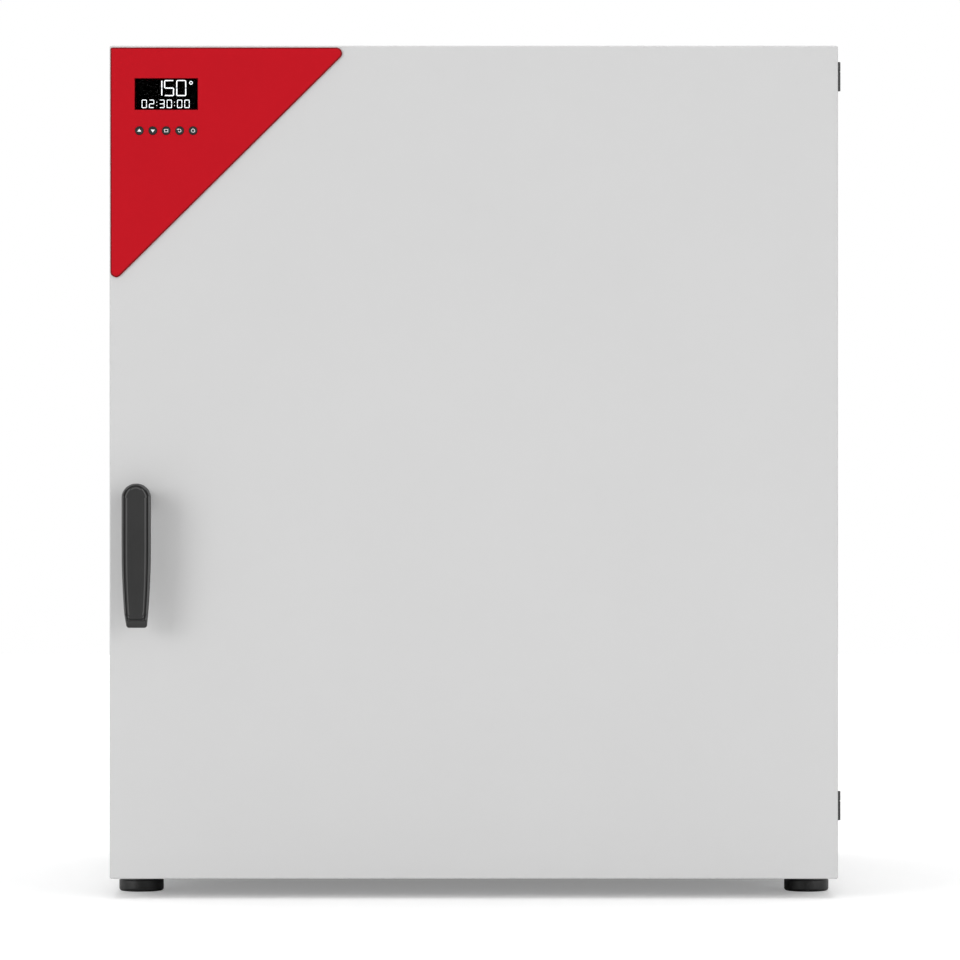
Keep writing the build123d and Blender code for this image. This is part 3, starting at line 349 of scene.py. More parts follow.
def finish_piece(
    piece, name, body, slot_name, replaced=(), finish=None, angle=35.0, flat=False
):
    """Settles a piece: its place, its shading, its finish and the body that it rides on."""
    apply_place(piece)
    bpy.ops.object.shade_smooth_by_angle(angle=math.radians(angle))
    if flat:
        apply_modifier(piece, "WEIGHTED_NORMAL", weight=100, keep_sharp=True)
    piece.name = name
    piece.data.name = name
    if not piece.data.materials:
        piece.data.materials.append(finish or FINISHES[slot_name])
    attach(piece, body)
    if replaced:
        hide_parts(*replaced)


def join_pieces(pieces):
    clear_selection()
    for piece in pieces:
        piece.select_set(True)
    bpy.context.view_layer.objects.active = pieces[0]
    bpy.ops.object.join()
    return bpy.context.object


def copy_node(node_name, whole_faces=True):
    """A merged copy of a metal part's mesh; its flat triangles can be joined to whole faces."""
    source = frame["nodes"][node_name]
    piece = bpy.data.objects.new(node_name + "_dressed", source.data.copy())
    bpy.context.scene.collection.objects.link(piece)
    pick(piece)
    bpy.ops.object.mode_set(mode="EDIT")
    bpy.ops.mesh.select_all(action="SELECT")
    bpy.ops.mesh.remove_doubles(threshold=0.000002)
    if whole_faces:
        bpy.ops.mesh.dissolve_limited(angle_limit=math.radians(0.5), delimit={"NORMAL"})
    leave_edit()
    return piece


def soften(piece, width, segments):
    """Breaks all edges where faces meet at more than 30 degrees."""
    apply_modifier(
        piece,
        "BEVEL",
        width=width,
        segments=segments,
        limit_method="ANGLE",
        angle_limit=math.radians(30.0),
        use_clamp_overlap=True,
    )


def add_cylinder(radius, depth, place, axis="Z", vertices=48):
    turns = {"X": (0, math.pi / 2, 0), "Y": (math.pi / 2, 0, 0), "Z": (0, 0, 0)}
    clear_selection()
    bpy.ops.mesh.primitive_cylinder_add(
        vertices=vertices, radius=radius, depth=depth, location=place, rotation=turns[axis]
    )
    piece = bpy.context.object
    apply_place(piece)
    return piece


def add_block(size, place):
    clear_selection()
    bpy.ops.mesh.primitive_cube_add(size=1.0, location=place)
    piece = bpy.context.object
    piece.scale = size
    apply_place(piece)
    return piece


def select_rim(piece, axis, level):
    """In edit mode, selects the edges that run across an axis at a level."""
    i = "XYZ".index(axis)
    select_parts(
        piece,
        "EDGE",
        lambda e: abs(edge_middle(piece, e)[i] - level) < TINY
        and abs(edge_run(piece, e)[i]) < 0.1,
    )


def bevel_picked(width, segments):
    bpy.ops.mesh.bevel(offset=width, segments=segments, affect="EDGES", profile=0.5)
    leave_edit()


def extrude_picked(move):
    bpy.ops.mesh.extrude_region_move(TRANSFORM_OT_translate={"value": move})


def face_outward():
    bpy.ops.mesh.select_all(action="SELECT")
    bpy.ops.mesh.normals_make_consistent(inside=False)
    leave_edit()


# Feet: moulded discs with a rolled lower edge and a groove round the middle

FOOT_RADIUS, FOOT_ROLL = 0.0255, 0.0034
FOOT_GROOVE_LEVELS = (0.0125, 0.0132, 0.0148, 0.0155)
FOOT_GROOVE_SCALE = 0.965
FOOT_SIDES = (-0.3815, 0.3815)
FOOT_DEPTHS = (-0.26, 0.32)


def make_foot(x, y):
    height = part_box("feet")[1].z
    foot = add_cylinder(FOOT_RADIUS, height, (x, y, height / 2), "Z", 64)
    for level in FOOT_GROOVE_LEVELS:
        select_parts(foot, "FACE", lambda face: True)
        bpy.ops.mesh.bisect(plane_co=(0, 0, level), plane_no=(0, 0, 1))
        leave_edit()
    groove_low = FOOT_GROOVE_LEVELS[1] - TINY
    groove_high = FOOT_GROOVE_LEVELS[2] + TINY
    select_parts(foot, "VERT", lambda v: groove_low < v.co.z < groove_high)
    bpy.ops.transform.resize(
        value=(FOOT_GROOVE_SCALE, FOOT_GROOVE_SCALE, 1.0), center_override=(x, y, 0.0)
    )
    leave_edit()
    select_rim(foot, "Z", 0.0)
    bevel_picked(FOOT_ROLL, 6)
    return foot


feet = [make_foot(x, y) for x in FOOT_SIDES for y in FOOT_DEPTHS]
finish_piece(join_pieces(feet), "levelling_feet", "housing", "foot_rubber", ("feet",))


# Handle: a tapered lever with a bevelled rim, a dished face and a turning boss

LEVER_FRONT, LEVER_BACK = -0.428, -0.412
LEVER_RADIUS, LEVER_STRAIGHT, LEVER_LENGTH = 0.016, 0.056, 0.1455
LEVER_END_NARROWING, LEVER_END_SLANT, LEVER_END_CORNER = 0.0045, 0.0075, 0.003
LEVER_FRONT_EDGE, LEVER_BACK_EDGE = 0.0012, 0.0009
LEVER_SWEEP_STEPS = 6
# Depth behind which the lever's sides get painted shade
LEVER_SIDES_FROM = -0.4262
# Edge, rim, groove and hollow of the lever's face: widths inwards and heights outwards
LEVER_FACE_STEPS = (
    (0.0003, 0.0008),
    (0.0008, 0.0004),
    (0.0008, 0.0),
    (0.0003, -0.0012),
    (0.0004, 0.0),
    (0.0004, 0.0012),
    (0.0012, 0.0),
    (0.0012, -0.0002),
    (0.0020, -0.0004),
    (0.0016, -0.0002),
)
LEVER_BACK_STEPS = ((0.0003, 0.0006), (0.0006, 0.0003))
# Finishes by distance from the outline: painted highlight on the edge, painted shade in the
# groove, plain ring, painted highlight line
LEVER_LIGHT_BANDS = ((0.0019, 2), (0.0030, 1), (0.0042, 0), (0.0054, 2))
BOSS_RADIUS, BOSS_EDGE = 0.012, 0.0008
BOSS_FRONT, BOSS_BACK = -0.4124, -0.3822


def lever_half_width(reach):
    """Half the lever's width at a reach below its straight part."""
    run = LEVER_LENGTH - LEVER_STRAIGHT
    sweep_radius = (run**2 + LEVER_END_NARROWING**2) / (2 * LEVER_END_NARROWING)
    return LEVER_RADIUS - (sweep_radius - math.sqrt(sweep_radius**2 - reach**2))


def lever_light_band(face):
    """Index of a face's finish: 0 plain, 1 painted shade, 2 painted highlight."""
    x, z = face.center.x - PIVOT[0], face.center.z - PIVOT[1]
    if face.center.y > LEVER_SIDES_FROM or face.normal.z < -0.3 and z < 0.0:
        return 1
    if z > 0.0:
        distance = LEVER_RADIUS - math.hypot(x, z)
    else:
        share = abs(x) / lever_half_width(max(0.0, -z - LEVER_STRAIGHT))
        distance = (LEVER_RADIUS - LEVER_END_NARROWING / 2) * (1 - share)
    for limit, index in LEVER_LIGHT_BANDS:
        if distance < limit:
            return index
    return 0


def step_in(steps, outward, middle):
    """Raises and narrows the selected face ring by ring, about a middle point."""
    half_width = LEVER_RADIUS - LEVER_END_NARROWING / 2
    half_length = (LEVER_LENGTH + LEVER_RADIUS) / 2
    for width, height in steps:
        extrude_picked((0, outward * height, 0))
        bpy.ops.transform.resize(
            value=(1 - width / half_width, 1.0, 1 - width / half_length),
            center_override=middle,
        )
        half_width -= width
        half_length -= width


def make_lever():
    x, z = PIVOT
    front = LEVER_FRONT + LEVER_FRONT_EDGE
    back = LEVER_BACK - LEVER_BACK_EDGE
    middle = (front + back) / 2
    lever = add_cylinder(LEVER_RADIUS, back - front, (x, middle, z), "Y", 96)
    select_parts(lever, "FACE", lambda face: True)
    bpy.ops.mesh.bisect(
        plane_co=(0, 0, z), plane_no=(0, 0, 1), clear_inner=True, use_fill=False
    )
    leave_edit()
    select_rim(lever, "Z", z)
    extrude_picked((0, 0, -LEVER_STRAIGHT))
    run = LEVER_LENGTH - LEVER_STRAIGHT
    width = LEVER_RADIUS
    for step in range(1, LEVER_SWEEP_STEPS + 1):
        next_width = lever_half_width(run * step / LEVER_SWEEP_STEPS)
        extrude_picked((0, 0, -run / LEVER_SWEEP_STEPS))
        bpy.ops.transform.resize(
            value=(next_width / width, 1.0, 1.0), center_override=(x, middle, z)
        )
        width = next_width
    bpy.ops.mesh.edge_face_add()
    face_outward()
    end_z = z - LEVER_LENGTH
    select_parts(
        lever,
        "EDGE",
        lambda e: abs(edge_middle(lever, e).z - end_z) < TINY
        and abs(edge_run(lever, e).y) > 0.9,
    )
    bevel_picked(LEVER_END_CORNER, 5)
    slant_from = end_z + LEVER_END_CORNER + 2 * TINY
    select_parts(lever, "VERT", lambda v: v.co.z < slant_from and v.co.y < middle)
    bpy.ops.transform.translate(value=(0, 0, LEVER_END_SLANT))
    leave_edit()
    for finish in (FINISHES["handle_dark"], HANDLE_PAINTED_SHADE, HANDLE_PAINTED_HIGHLIGHT):
        lever.data.materials.append(finish)
    centre_z = z + (LEVER_RADIUS - LEVER_LENGTH) / 2
    for outward, level, face_steps in (
        (-1, front, LEVER_FACE_STEPS),
        (1, back, LEVER_BACK_STEPS),
    ):
        select_parts(lever, "FACE", lambda f: f.normal.y * outward > 0.99)
        bpy.ops.mesh.dissolve_faces()
        step_in(face_steps, outward, (x, level, centre_z))
        leave_edit()
    return lever


lever = make_lever()
# Each face of the lever gets plain grey, painted shade or painted highlight, by where it lies
for face in lever.data.polygons:
    face.material_index = lever_light_band(face)
boss_place = (PIVOT[0], (BOSS_FRONT + BOSS_BACK) / 2, PIVOT[1])
boss = add_cylinder(BOSS_RADIUS, BOSS_BACK - BOSS_FRONT, boss_place, "Y", 64)
select_rim(boss, "Y", BOSS_BACK)
bevel_picked(BOSS_EDGE, 3)
# The whole boss behind the lever is in painted shade
boss.data.materials.append(HANDLE_PAINTED_SHADE)
finish_piece(
    join_pieces([lever, boss]), "handle_grip", "handle", "handle_dark", ("handle_lever",)
)


# Control keys: dished caps with a raised sign


def flat_sign(outline, name):
    """One face from outline points (x, z), at y = 0 and looking along y."""
    clear_selection()
    mesh = bpy.data.meshes.new(name)
    mesh.from_pydata([(x, 0.0, z) for x, z in outline], [], [tuple(range(len(outline)))])
    piece = bpy.data.objects.new(name, mesh)
    bpy.context.scene.collection.objects.link(piece)
    return piece


def raise_sign(piece, height):
    """Gives a flat sign its thickness, towards the front."""
    select_parts(piece, "FACE", lambda face: True)
    extrude_picked((0, -height, 0))
    face_outward()
    return piece


def ring_sign(inner, outer, gap_from=None, gap_to=None):
    """Outline of a ring, with an optional gap between two angles in degrees."""
    start = math.radians(gap_to if gap_to is not None else 0.0)
    end = math.radians(gap_from + 360.0 if gap_from is not None else 360.0)
    steps = 40
    angles = [start + (end - start) * i / steps for i in range(steps + 1)]
    outline = [(outer * math.cos(a), outer * math.sin(a)) for a in angles]
    outline += [(inner * math.cos(a), inner * math.sin(a)) for a in reversed(angles)]
    return outline


def bar_sign(left, low, right, high):
    return [(left, low), (right, low), (right, high), (left, high)]


def move_outline(outline, x, z):
    return [(x + px, z + pz) for px, pz in outline]


SIGNS = {
    "up": [[(-0.0016, -0.0008), (0.0016, -0.0008), (0.0, 0.0014)]],
    "down": [[(-0.0016, 0.0008), (0.0, -0.0014), (0.0016, 0.0008)]],
    "enter": [
        bar_sign(-0.0015, -0.0012, 0.0015, -0.0008),
        bar_sign(-0.0015, 0.0008, 0.0015, 0.0012),
        bar_sign(-0.0015, -0.0008, -0.0011, 0.0008),
        bar_sign(0.0011, -0.0008, 0.0015, 0.0008),
    ],
    "back": [
        ring_sign(0.0009, 0.0013, 100.0, 200.0),
        [(-0.0021, 0.0009), (-0.0009, 0.0002), (-0.0006, 0.0016)],
    ],
    "standby": [
        ring_sign(0.0011, 0.0015, 60.0, 120.0),
        bar_sign(-0.0002, 0.0004, 0.0002, 0.0019),
    ],
}
SIGN_SCALE, SIGN_HEIGHT = 1.45, 0.00015
CAP_RADIUS, CAP_EDGE, CAP_BACK = 0.0047, 0.00045, -0.3799
CAP_RIM, CAP_SLOPE, CAP_DISH = 0.0006, 0.0002, 0.00012
COLLAR_SIDE, COLLAR_HEIGHT, COLLAR_Y = 0.0124, 0.001, -0.3794
STEM_SIDE = 0.0036
for word, x in zip(("up", "down", "enter", "back", "standby"), KEY_PLACES):
    low_corner, high_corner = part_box("key_" + word)
    cap_front = low_corner.y
    cap_middle = (CAP_BACK + cap_front) / 2
    cap = add_cylinder(CAP_RADIUS, CAP_BACK - cap_front, (x, cap_middle, KEYS_Z), "Y", 56)
    select_rim(cap, "Y", cap_front)
    bevel_picked(CAP_EDGE, 4)
    select_parts(cap, "FACE", lambda f: f.normal.y < -0.99)
    bpy.ops.mesh.inset(thickness=CAP_RIM, depth=0.0)
    bpy.ops.mesh.inset(thickness=CAP_SLOPE, depth=-CAP_DISH)
    leave_edit()
    collar = add_block((COLLAR_SIDE, COLLAR_HEIGHT, COLLAR_SIDE), (x, COLLAR_Y, KEYS_Z))
    soften(collar, 0.0003, 2)
    stem = add_block(
        (STEM_SIDE, high_corner.y - COLLAR_Y, STEM_SIDE),
        (x, (high_corner.y + COLLAR_Y) / 2, KEYS_Z),
    )
    soften(stem, 0.0003, 2)
    key = join_pieces([cap, collar, stem])
    finish_piece(key, "button_" + word, word + "_key", "key_black", ("key_" + word,))
    signs = []
    for outline in SIGNS[word]:
        larger = [(SIGN_SCALE * px, SIGN_SCALE * pz) for px, pz in outline]
        sign = raise_sign(flat_sign(move_outline(larger, x, KEYS_Z), "sign"), SIGN_HEIGHT)
        for vertex in sign.data.vertices:
            vertex.co.y += cap_front + CAP_DISH
        signs.append(sign)
    sign = join_pieces(signs)
    finish_piece(sign, "sign_" + word, word + "_key", "key_black", finish=SYMBOL_WHITE)


# Display: plain numbers in seven segments, on the module behind the window

SEGMENTS = {"0": "abcdef", "1": "bc", "2": "abged", "3": "abgcd", "5": "afgcd"}


def segment_outline(letter, left, low, width, height, thick):
    """Corner points of one segment of a digit, slanted at both ends."""
    half = thick / 2
    right, high, middle = left + width, low + height, low + height / 2
    level = {"a": high - half, "g": middle, "d": low + half}
    if letter in level:
        z = level[letter]
        return [
            (left + half, z),
            (left + thick, z - half),
            (right - thick, z - half),
            (right - half, z),
            (right - thick, z + half),
            (left + thick, z + half),
        ]
    x = left + half if letter in "ef" else right - half
    bottom, top = (low, middle) if letter in "ce" else (middle, high)
    bottom += half * (1.0 if letter in "ce" else 0.3)
    top -= half * (0.3 if letter in "ce" else 1.0)
    return [
        (x, bottom),
        (x + half, bottom + half),
        (x + half, top - half),
        (x, top),
        (x - half, top - half),
        (x - half, bottom + half),
    ]


def write_number(text, left, low, width, height, thick, pitch):
    """Outlines of the segments of a text, from its lower left corner."""
    outlines = []
    x = left
    for character in text:
        if character == ":":
            for level in (0.3, 0.7):
                z = low + level * height
                outlines.append(bar_sign(x, z - thick / 2, x + thick, z + thick / 2))
            x += pitch - width + thick
            continue
        for letter in SEGMENTS[character]:
            outlines.append(segment_outline(letter, x, low, width, height, thick))
        x += pitch
    return outlines


# Text, left edge, lower edge, width, height and stroke of its digits, and pitch
TEXTS = (
    ("1", -0.361071, 0.903118, 0.0105, 0.0181, 0.0012, 0.0136),
    ("50", -0.348577, 0.903118, 0.0112, 0.0181, 0.0012, 0.0137),
    ("02:30:00", -0.373790, 0.889723, 0.0058, 0.0094, 0.0008, 0.0083),
)
DEGREE_RING, DEGREE_PLACE = (0.0012, 0.0020), (-0.318298, 0.918088)
MARK_HEIGHT = 0.0001

module_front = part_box("display_module")[0].y
marks = [outline for text in TEXTS for outline in write_number(*text)]
marks.append(move_outline(ring_sign(*DEGREE_RING), *DEGREE_PLACE))
number_pieces = []
for outline in marks:
    mark = raise_sign(flat_sign(outline, "mark"), MARK_HEIGHT)
    for vertex in mark.data.vertices:
        vertex.co.y += module_front
    number_pieces.append(mark)
finish_piece(
    join_pieces(number_pieces), "display_numbers", "door", "display_black", finish=SEGMENT_WHITE
)


# Control plate: the red triangle, with painted shade on its bevelled rim and side walls

plate = copy_node("control_cover", whole_faces=False)
plate.data.materials.clear()
plate.data.materials.append(FINISHES["panel_red"])
plate.data.materials.append(PANEL_PAINTED_SHADE)
# The bevel and side faces take the darker red of painted shade
for face in plate.data.polygons:
    if abs(face.normal.y) < 0.95:
        face.material_index = 1
finish_piece(
    plate, "control_plate", "door", "panel_red", ("control_cover",), angle=20.0, flat=True
)

window = copy_node("display_window")
soften(window, 0.0003, 2)
finish_piece(window, "display_pane", "door", "window_clear", ("display_window",))


# Folded and machined parts: merged copies with broken edges

SOFTENED = (
    ("door_outer_panel", "door", 0.0006, 2),
    ("door_inner_panel", "door", 0.0005, 2),
    ("side_panel_left", "housing", 0.0005, 2),
    ("side_panel_right", "housing", 0.0005, 2),
    ("top_panel", "housing", 0.0005, 2),
    ("rear_panel", "housing", 0.0003, 1),
    ("front_frame", "housing", 0.0004, 2),
    ("door_gasket", "housing", 0.0009, 3),
    ("rear_baffle", "housing", 0.0003, 2),
    ("handle_bush", "door", 0.0004, 2),
    ("latch_cam", "handle", 0.0005, 2),
    ("latch_keeper", "housing", 0.0003, 2),
    ("exhaust_spigot", "housing", 0.0005, 2),
    ("power_inlet", "housing", 0.0004, 2),
)
for node_name, body, width, segments in SOFTENED:
    piece = copy_node(node_name)
    soften(piece, width, segments)
    slot_name = NODE_SLOTS[node_name]
    piece.data.materials.clear()
    finish_piece(piece, node_name + "_sheet", body, slot_name, (node_name,), flat=True)


# Hinges: knuckles with broken edges on plates, and pins with domed ends

HINGE_HEIGHT, BRACKET_HEIGHT, LEAF_HEIGHT = 0.033, 0.0216, 0.011
HINGE_REACH, KNUCKLE_RADIUS, HINGE_PIN_RADIUS = 0.041, 0.0055, 0.0031
LEAF_FRONT = -0.328


def make_hinge_half(low_z, high_z, plate_front, plate_back):
    x, y = HINGE_PIN
    height = high_z - low_z
    middle = (low_z + high_z) / 2
    knuckle = add_cylinder(KNUCKLE_RADIUS, height, (x, y, middle), "Z", 56)
    soften(knuckle, 0.0005, 3)
    plate_piece = add_block(
        (HINGE_REACH, plate_back - plate_front, height),
        (x - HINGE_REACH / 2, (plate_front + plate_back) / 2, middle),
    )
    soften(plate_piece, 0.0005, 3)
    return join_pieces([knuckle, plate_piece])


leaves, brackets, pins = [], [], []
for middle in HINGE_MIDDLES:
    foot, head = middle - HINGE_HEIGHT / 2, middle + HINGE_HEIGHT / 2
    brackets.append(make_hinge_half(foot, foot + BRACKET_HEIGHT, HINGE_PIN[1], HOUSING_FACE))
    leaves.append(make_hinge_half(head - LEAF_HEIGHT, head, LEAF_FRONT, HINGE_PIN[1]))
    pin = add_cylinder(HINGE_PIN_RADIUS, HINGE_HEIGHT, (*HINGE_PIN, middle), "Z", 32)
    soften(pin, 0.0007, 3)
    pins.append(pin)
for halves, name, body, slot_name, node_name in (
    (brackets, "hinge_lower_halves", "housing", "hinge_black", "hinge_brackets"),
    (leaves, "hinge_upper_halves", "door", "hinge_black", "hinge_leaves"),
    (pins, "hinge_pivots", "housing", "latch_steel", "hinge_pins"),
):
    finish_piece(join_pieces(halves), name, body, slot_name, (node_name,))


# Shelves: round rods, with round wires drawn between the front and rear rods

SHELF_HALF = 0.318
SHELF_FRONT, SHELF_BACK = -0.272, 0.185
ROD, WIRE = 0.003, 0.0012
WIRE_COUNT, BAR_COUNT = 17, 2


def copy_piece(piece, move=(0, 0, 0), turn=None):
    """A copy with its own mesh, turned about the origin first and then moved."""
    twin = piece.copy()
    twin.data = piece.data.copy()
    bpy.context.scene.collection.objects.link(twin)
    if turn is not None:
        twin.data.transform(turn)
    twin.data.transform(Matrix.Translation(move))
    return twin


def round_rod(start, end, radius, axis, vertices):
    """A drawn rod from start to end with its ends rounded over."""
    length = (Vector(end) - Vector(start)).length
    rod = add_cylinder(radius, length, (Vector(start) + Vector(end)) / 2, axis, vertices)
    soften(rod, radius * 0.45, 2)
    return rod


def make_shelf(name, node_name, body):
    low_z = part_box(node_name)[0].z
    rod_z = low_z + ROD
    side, front, back = SHELF_HALF, SHELF_FRONT, SHELF_BACK
    front_rod = round_rod((-side - ROD, front, rod_z), (side + ROD, front, rod_z), ROD, "X", 20)
    side_rod = round_rod((-side, front - ROD, rod_z), (-side, back + ROD, rod_z), ROD, "Y", 20)
    rods = [front_rod, copy_piece(front_rod, (0, back - front, 0))]
    rods += [side_rod, copy_piece(side_rod, (2 * side, 0, 0))]
    pitch = 2 * side / (WIRE_COUNT + 1)
    first_x = pitch - side
    wire = round_rod((first_x, front, rod_z), (first_x, back, rod_z), WIRE, "Y", 12)
    rods.append(wire)
    for i in range(1, WIRE_COUNT):
        rods.append(copy_piece(wire, (i * pitch, 0, 0)))
    bar_pitch = (back - front) / (BAR_COUNT + 1)
    bar_y, bar_z = front + bar_pitch, low_z + WIRE
    bar = round_rod((-side, bar_y, bar_z), (side, bar_y, bar_z), WIRE, "X", 12)
    rods.append(bar)
    for i in range(1, BAR_COUNT):
        rods.append(copy_piece(bar, (0, i * bar_pitch, 0)))
    finish_piece(join_pieces(rods), name, body, "shelf_wire", (node_name,))


make_shelf("wire_shelf_lower", "shelf_lower", "lower_shelf")
make_shelf("wire_shelf_upper", "shelf_upper", "upper_shelf")


# Fan wheel: a back disc, a hub and blades curved in one arc

FAN_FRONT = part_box("fan_wheel")[0].y
FAN_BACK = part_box("fan_wheel")[1].y
BLADE_ROOT, BLADE_SHEET = 0.044, 0.0016
BLADE_ARC, BLADE_LEAN, BLADE_TURN = 0.042, math.radians(12.0), math.radians(76.0)
BLADE_COUNT = 10
DISC_RADIUS, DISC_SHEET = 0.09, 0.0015
HUB_RADIUS, HUB_RIM, HUB_EDGE = 0.015, 0.0015, 0.00051


def make_blade():
    """One blade, swept from its root along an arc that leans back."""
    depth = FAN_BACK - DISC_SHEET - FAN_FRONT
    middle = (FAN_FRONT + FAN_BACK - DISC_SHEET) / 2
    clear_selection()
    bpy.ops.mesh.primitive_plane_add(size=1.0, location=(0, 0, 0))
    blade = bpy.context.object
    blade.scale = (BLADE_SHEET, depth, 1.0)
    apply_place(blade)
    blade.data.transform(Matrix.Rotation(math.pi / 2 - BLADE_LEAN, 4, "Y"))
    blade.data.transform(Matrix.Translation((BLADE_ROOT, middle, FAN_Z)))
    centre = (
        BLADE_ROOT - BLADE_ARC * math.sin(BLADE_LEAN),
        middle,
        FAN_Z + BLADE_ARC * math.cos(BLADE_LEAN),
    )
    select_parts(blade, "FACE", lambda face: True)
    bpy.ops.mesh.spin(steps=12, angle=BLADE_TURN, center=centre, axis=(0, 1, 0))
    bpy.ops.mesh.select_all(action="SELECT")
    bpy.ops.mesh.remove_doubles(threshold=0.000001)
    face_outward()
    return blade


blade = make_blade()
disc = add_cylinder(DISC_RADIUS, DISC_SHEET, (0, FAN_BACK - DISC_SHEET / 2, FAN_Z), "Y", 96)
soften(disc, 0.0004, 2)
hub_place = (0, (FAN_FRONT + FAN_BACK) / 2, FAN_Z)
hub = add_cylinder(HUB_RADIUS, FAN_BACK - FAN_FRONT, hub_place, "Y", 48)
select_parts(hub, "FACE", lambda f: f.normal.y < -0.99)
bpy.ops.mesh.inset(thickness=HUB_RIM, depth=0.0)
leave_edit()
soften(hub, HUB_EDGE, 3)
wheel_pieces = [disc, hub, blade]
to_axis = Matrix.Translation((0, 0, FAN_Z))
for i in range(1, BLADE_COUNT):
    turn = to_axis @ Matrix.Rotation(i * 2 * math.pi / BLADE_COUNT, 4, "Y") @ to_axis.inverted()
    wheel_pieces.append(copy_piece(blade, turn=turn))
finish_piece(join_pieces(wheel_pieces), "fan_rotor", "fan", "fan_steel", ("fan_wheel",))


# Screws: pan heads with a hexagon socket

REAR_SCREW_PLACES = [
    (side * 0.400, REAR, z) for side in (-1, 1) for z in (0.082, 0.491, 0.900)
]


def make_screw(place, outward, head_radius, head_height, shank_radius, shank_length):
    """A screw seated at a place, with its head standing off along y, outward being 1 or -1."""
    x, y, z = place
    head_end = y + outward * head_height
    head_middle = y + outward * head_height / 2
    head = add_cylinder(head_radius, head_height, (x, head_middle, z), "Y", 32)
    select_rim(head, "Y", head_end)
    bevel_picked(head_height * 0.4, 4)
    socket = add_cylinder(head_radius * 0.42, head_height, (x, head_end, z), "Y", 6)
    apply_modifier(head, "BOOLEAN", operation="DIFFERENCE", object=socket)
    bpy.data.objects.remove(socket)
    shank = add_cylinder(
        shank_radius, shank_length, (x, y - outward * shank_length / 2, z), "Y", 20
    )
    soften(shank, shank_radius * 0.25, 2)
    return join_pieces([head, shank])


def make_screw_set(name, node_name, body, slot_name, places, *sizes):
    first = make_screw(places[0], *sizes)
    screws = [first]
    for place in places[1:]:
        screws.append(copy_piece(first, Vector(place) - Vector(places[0])))
    finish_piece(join_pieces(screws), name, body, slot_name, (node_name,), flat=True)


# Head radius, head height, shank radius and shank length
REAR_SCREW_SIZES = (0.004, 0.0024, 0.002, 0.007)
HINGE_SCREW_SIZES = (0.0038, 0.0018, 0.002, 0.0055)
hinge_screw_x = (HINGE_PIN[0] - 0.015, HINGE_PIN[0] - 0.030)
bracket_places = [
    (x, HINGE_PIN[1], middle + (BRACKET_HEIGHT - HINGE_HEIGHT) / 2)
    for middle in HINGE_MIDDLES
    for x in hinge_screw_x
]
leaf_places = [
    (x, HINGE_PIN[1], middle + (HINGE_HEIGHT - LEAF_HEIGHT) / 2)
    for middle in HINGE_MIDDLES
    for x in hinge_screw_x
]
for name, node_name, body, places, screw_sizes in (
    ("rear_screws", "panel_screws", "housing", REAR_SCREW_PLACES, (1, *REAR_SCREW_SIZES)),
    ("bracket_fixings", "bracket_screws", "housing", bracket_places, (-1, *HINGE_SCREW_SIZES)),
    ("leaf_fixings", "leaf_screws", "door", leaf_places, (1, *HINGE_SCREW_SIZES)),
):
    make_screw_set(name, node_name, body, NODE_SLOTS[node_name], places, *screw_sizes)


# Louvres: a pressed hood over each slot of the rear panel, open on one side

LOUVRE_PITCH, LOUVRE_COUNT, LOUVRE_ROWS = 0.016, 12, (0.150, 0.230)
HOOD_SIZE, HOOD_SHIFT, HOOD_EDGE = (0.0066, 0.0032, 0.0626), 0.0008, 0.0022


def make_hood(x, z):
    hood = add_block(HOOD_SIZE, (x + HOOD_SHIFT, REAR + HOOD_SIZE[1] / 2, z))
    select_parts(
        hood,
        "EDGE",
        lambda e: edge_middle(hood, e).y > REAR + 0.003 and edge_middle(hood, e).x > x - 0.002,
    )
    bevel_picked(HOOD_EDGE, 5)
    select_parts(hood, "FACE", lambda f: f.normal.x < -0.99)
    bpy.ops.mesh.inset(thickness=0.0006, depth=0.0)
    bpy.ops.mesh.inset(thickness=0.0, depth=-0.0035)
    leave_edit()
    return hood


first_x = -LOUVRE_PITCH * (LOUVRE_COUNT - 1) / 2
hood = make_hood(first_x, LOUVRE_ROWS[0])
hoods = []
for row in LOUVRE_ROWS:
    for i in range(LOUVRE_COUNT):
        hoods.append(copy_piece(hood, (i * LOUVRE_PITCH, 0, row - LOUVRE_ROWS[0])))
bpy.data.objects.remove(hood)
finish_piece(join_pieces(hoods), "louvre_hoods", "housing", NODE_SLOTS["rear_panel"], flat=True)


# Stage: floor, light and camera

# The floor glows a little for the camera alone, so that it runs into the backdrop
floor_material = bpy.data.materials.new("studio_floor")
floor_material.use_nodes = True
floor_nodes, floor_links = floor_material.node_tree.nodes, floor_material.node_tree.links
floor_shader = floor_nodes["Principled BSDF"]
floor_shader.inputs["Base Color"].default_value = (0.86, 0.86, 0.86, 1.0)
floor_shader.inputs["Roughness"].default_value = 0.9
floor_shader.inputs["Specular IOR Level"].default_value = 0.1
glow = floor_nodes.new("ShaderNodeEmission")
glow.inputs["Color"].default_value = (1.0, 1.0, 1.0, 1.0)
light_path = floor_nodes.new("ShaderNodeLightPath")
glow_level = floor_nodes.new("ShaderNodeMath")
glow_level.operation = "MULTIPLY"
glow_level.inputs[1].default_value = 0.255
floor_links.new(light_path.outputs["Is Camera Ray"], glow_level.inputs[0])
floor_links.new(glow_level.outputs["Value"], glow.inputs["Strength"])
both = floor_nodes.new("ShaderNodeAddShader")
floor_links.new(floor_shader.outputs["BSDF"], both.inputs[0])
floor_links.new(glow.outputs["Emission"], both.inputs[1])
floor_links.new(both.outputs["Shader"], floor_nodes["Material Output"].inputs["Surface"])

clear_selection()
bpy.ops.mesh.primitive_plane_add(size=16.0, location=(0, 0, 0))
floor = bpy.context.object
floor.name = "studio_floor"
floor.data.materials.append(floor_material)

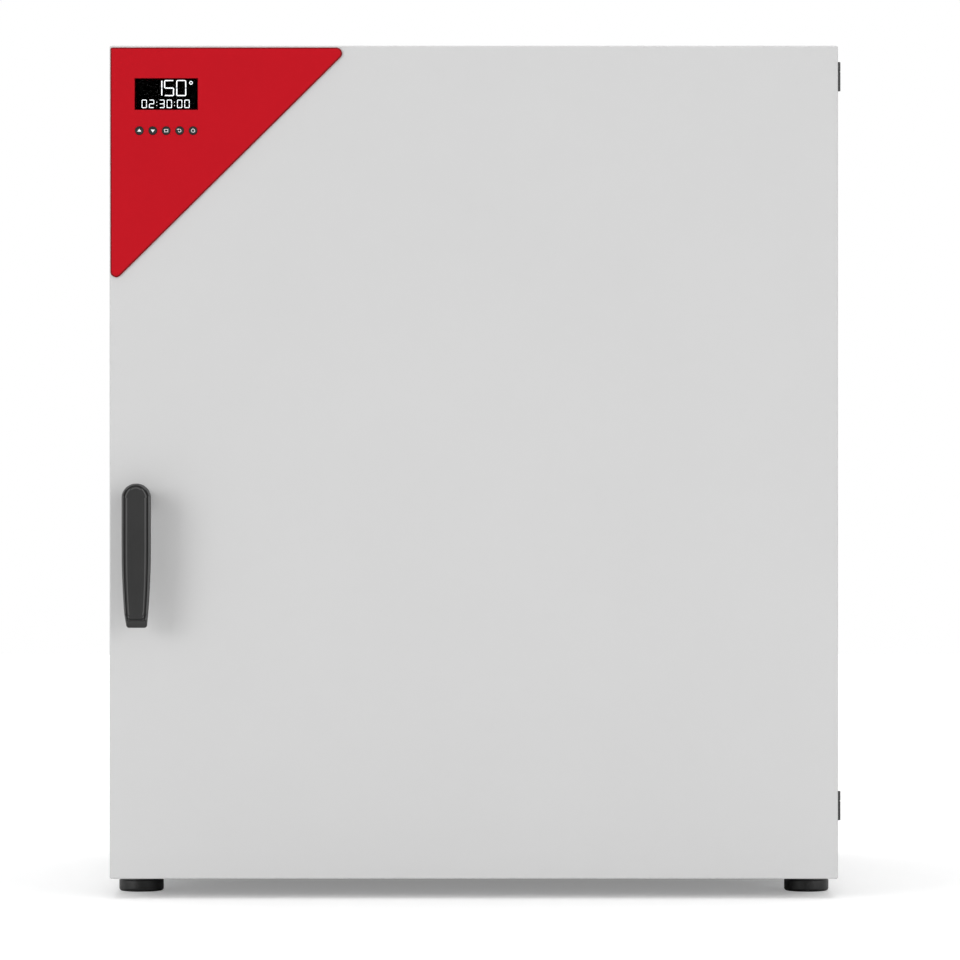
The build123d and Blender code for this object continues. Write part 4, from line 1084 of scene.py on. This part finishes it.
# The backdrop is white where it is seen, mirrored or seen through, and dimmer as a light
world = bpy.data.worlds.new("studio_light")
bpy.context.scene.world = world
world.use_nodes = True
world_nodes, world_links = world.node_tree.nodes, world.node_tree.links
backdrop = world_nodes["Background"]
backdrop.inputs["Color"].default_value = (1.0, 1.0, 1.0, 1.0)
world_path = world_nodes.new("ShaderNodeLightPath")
seen = world_nodes.new("ShaderNodeMath")
seen.operation = "MAXIMUM"
world_links.new(world_path.outputs["Is Camera Ray"], seen.inputs[0])
world_links.new(world_path.outputs["Is Glossy Ray"], seen.inputs[1])
seen_through = world_nodes.new("ShaderNodeMath")
seen_through.operation = "MAXIMUM"
world_links.new(seen.outputs["Value"], seen_through.inputs[0])
world_links.new(world_path.outputs["Is Transmission Ray"], seen_through.inputs[1])
sky_level = world_nodes.new("ShaderNodeMapRange")
sky_level.inputs["To Min"].default_value = 0.585
sky_level.inputs["To Max"].default_value = 1.0
world_links.new(seen_through.outputs["Value"], sky_level.inputs["Value"])
world_links.new(sky_level.outputs["Result"], backdrop.inputs["Strength"])


def add_sun(name, towards, energy, softness):
    lamp = bpy.data.lights.new(name, "SUN")
    lamp.energy = energy
    lamp.angle = math.radians(softness)
    lamp_object = bpy.data.objects.new(name, lamp)
    lamp_object.rotation_euler = Vector(towards).to_track_quat("-Z", "Y").to_euler()
    bpy.context.scene.collection.objects.link(lamp_object)


add_sun("key_light", (0.92, 1.0, -0.30), 0.85, 28.0)
add_sun("fill_light", (-0.92, 1.0, -0.30), 0.6, 32.0)
add_sun("top_light", (0.0, -0.2, -1.0), 1.15, 56.0)

camera_data = bpy.data.cameras.new("camera")
camera_data.lens = 199.9
camera_data.sensor_width = 36.0
camera_data.clip_end = 50.0
camera = bpy.data.objects.new("camera", camera_data)
camera.location = (0.007, -6.38, 0.471)
camera.rotation_euler = (math.pi / 2, 0.0, 0.0)
bpy.context.scene.collection.objects.link(camera)
bpy.context.scene.camera = camera
bpy.context.scene.view_settings.view_transform = "Standard"

clear_selection()
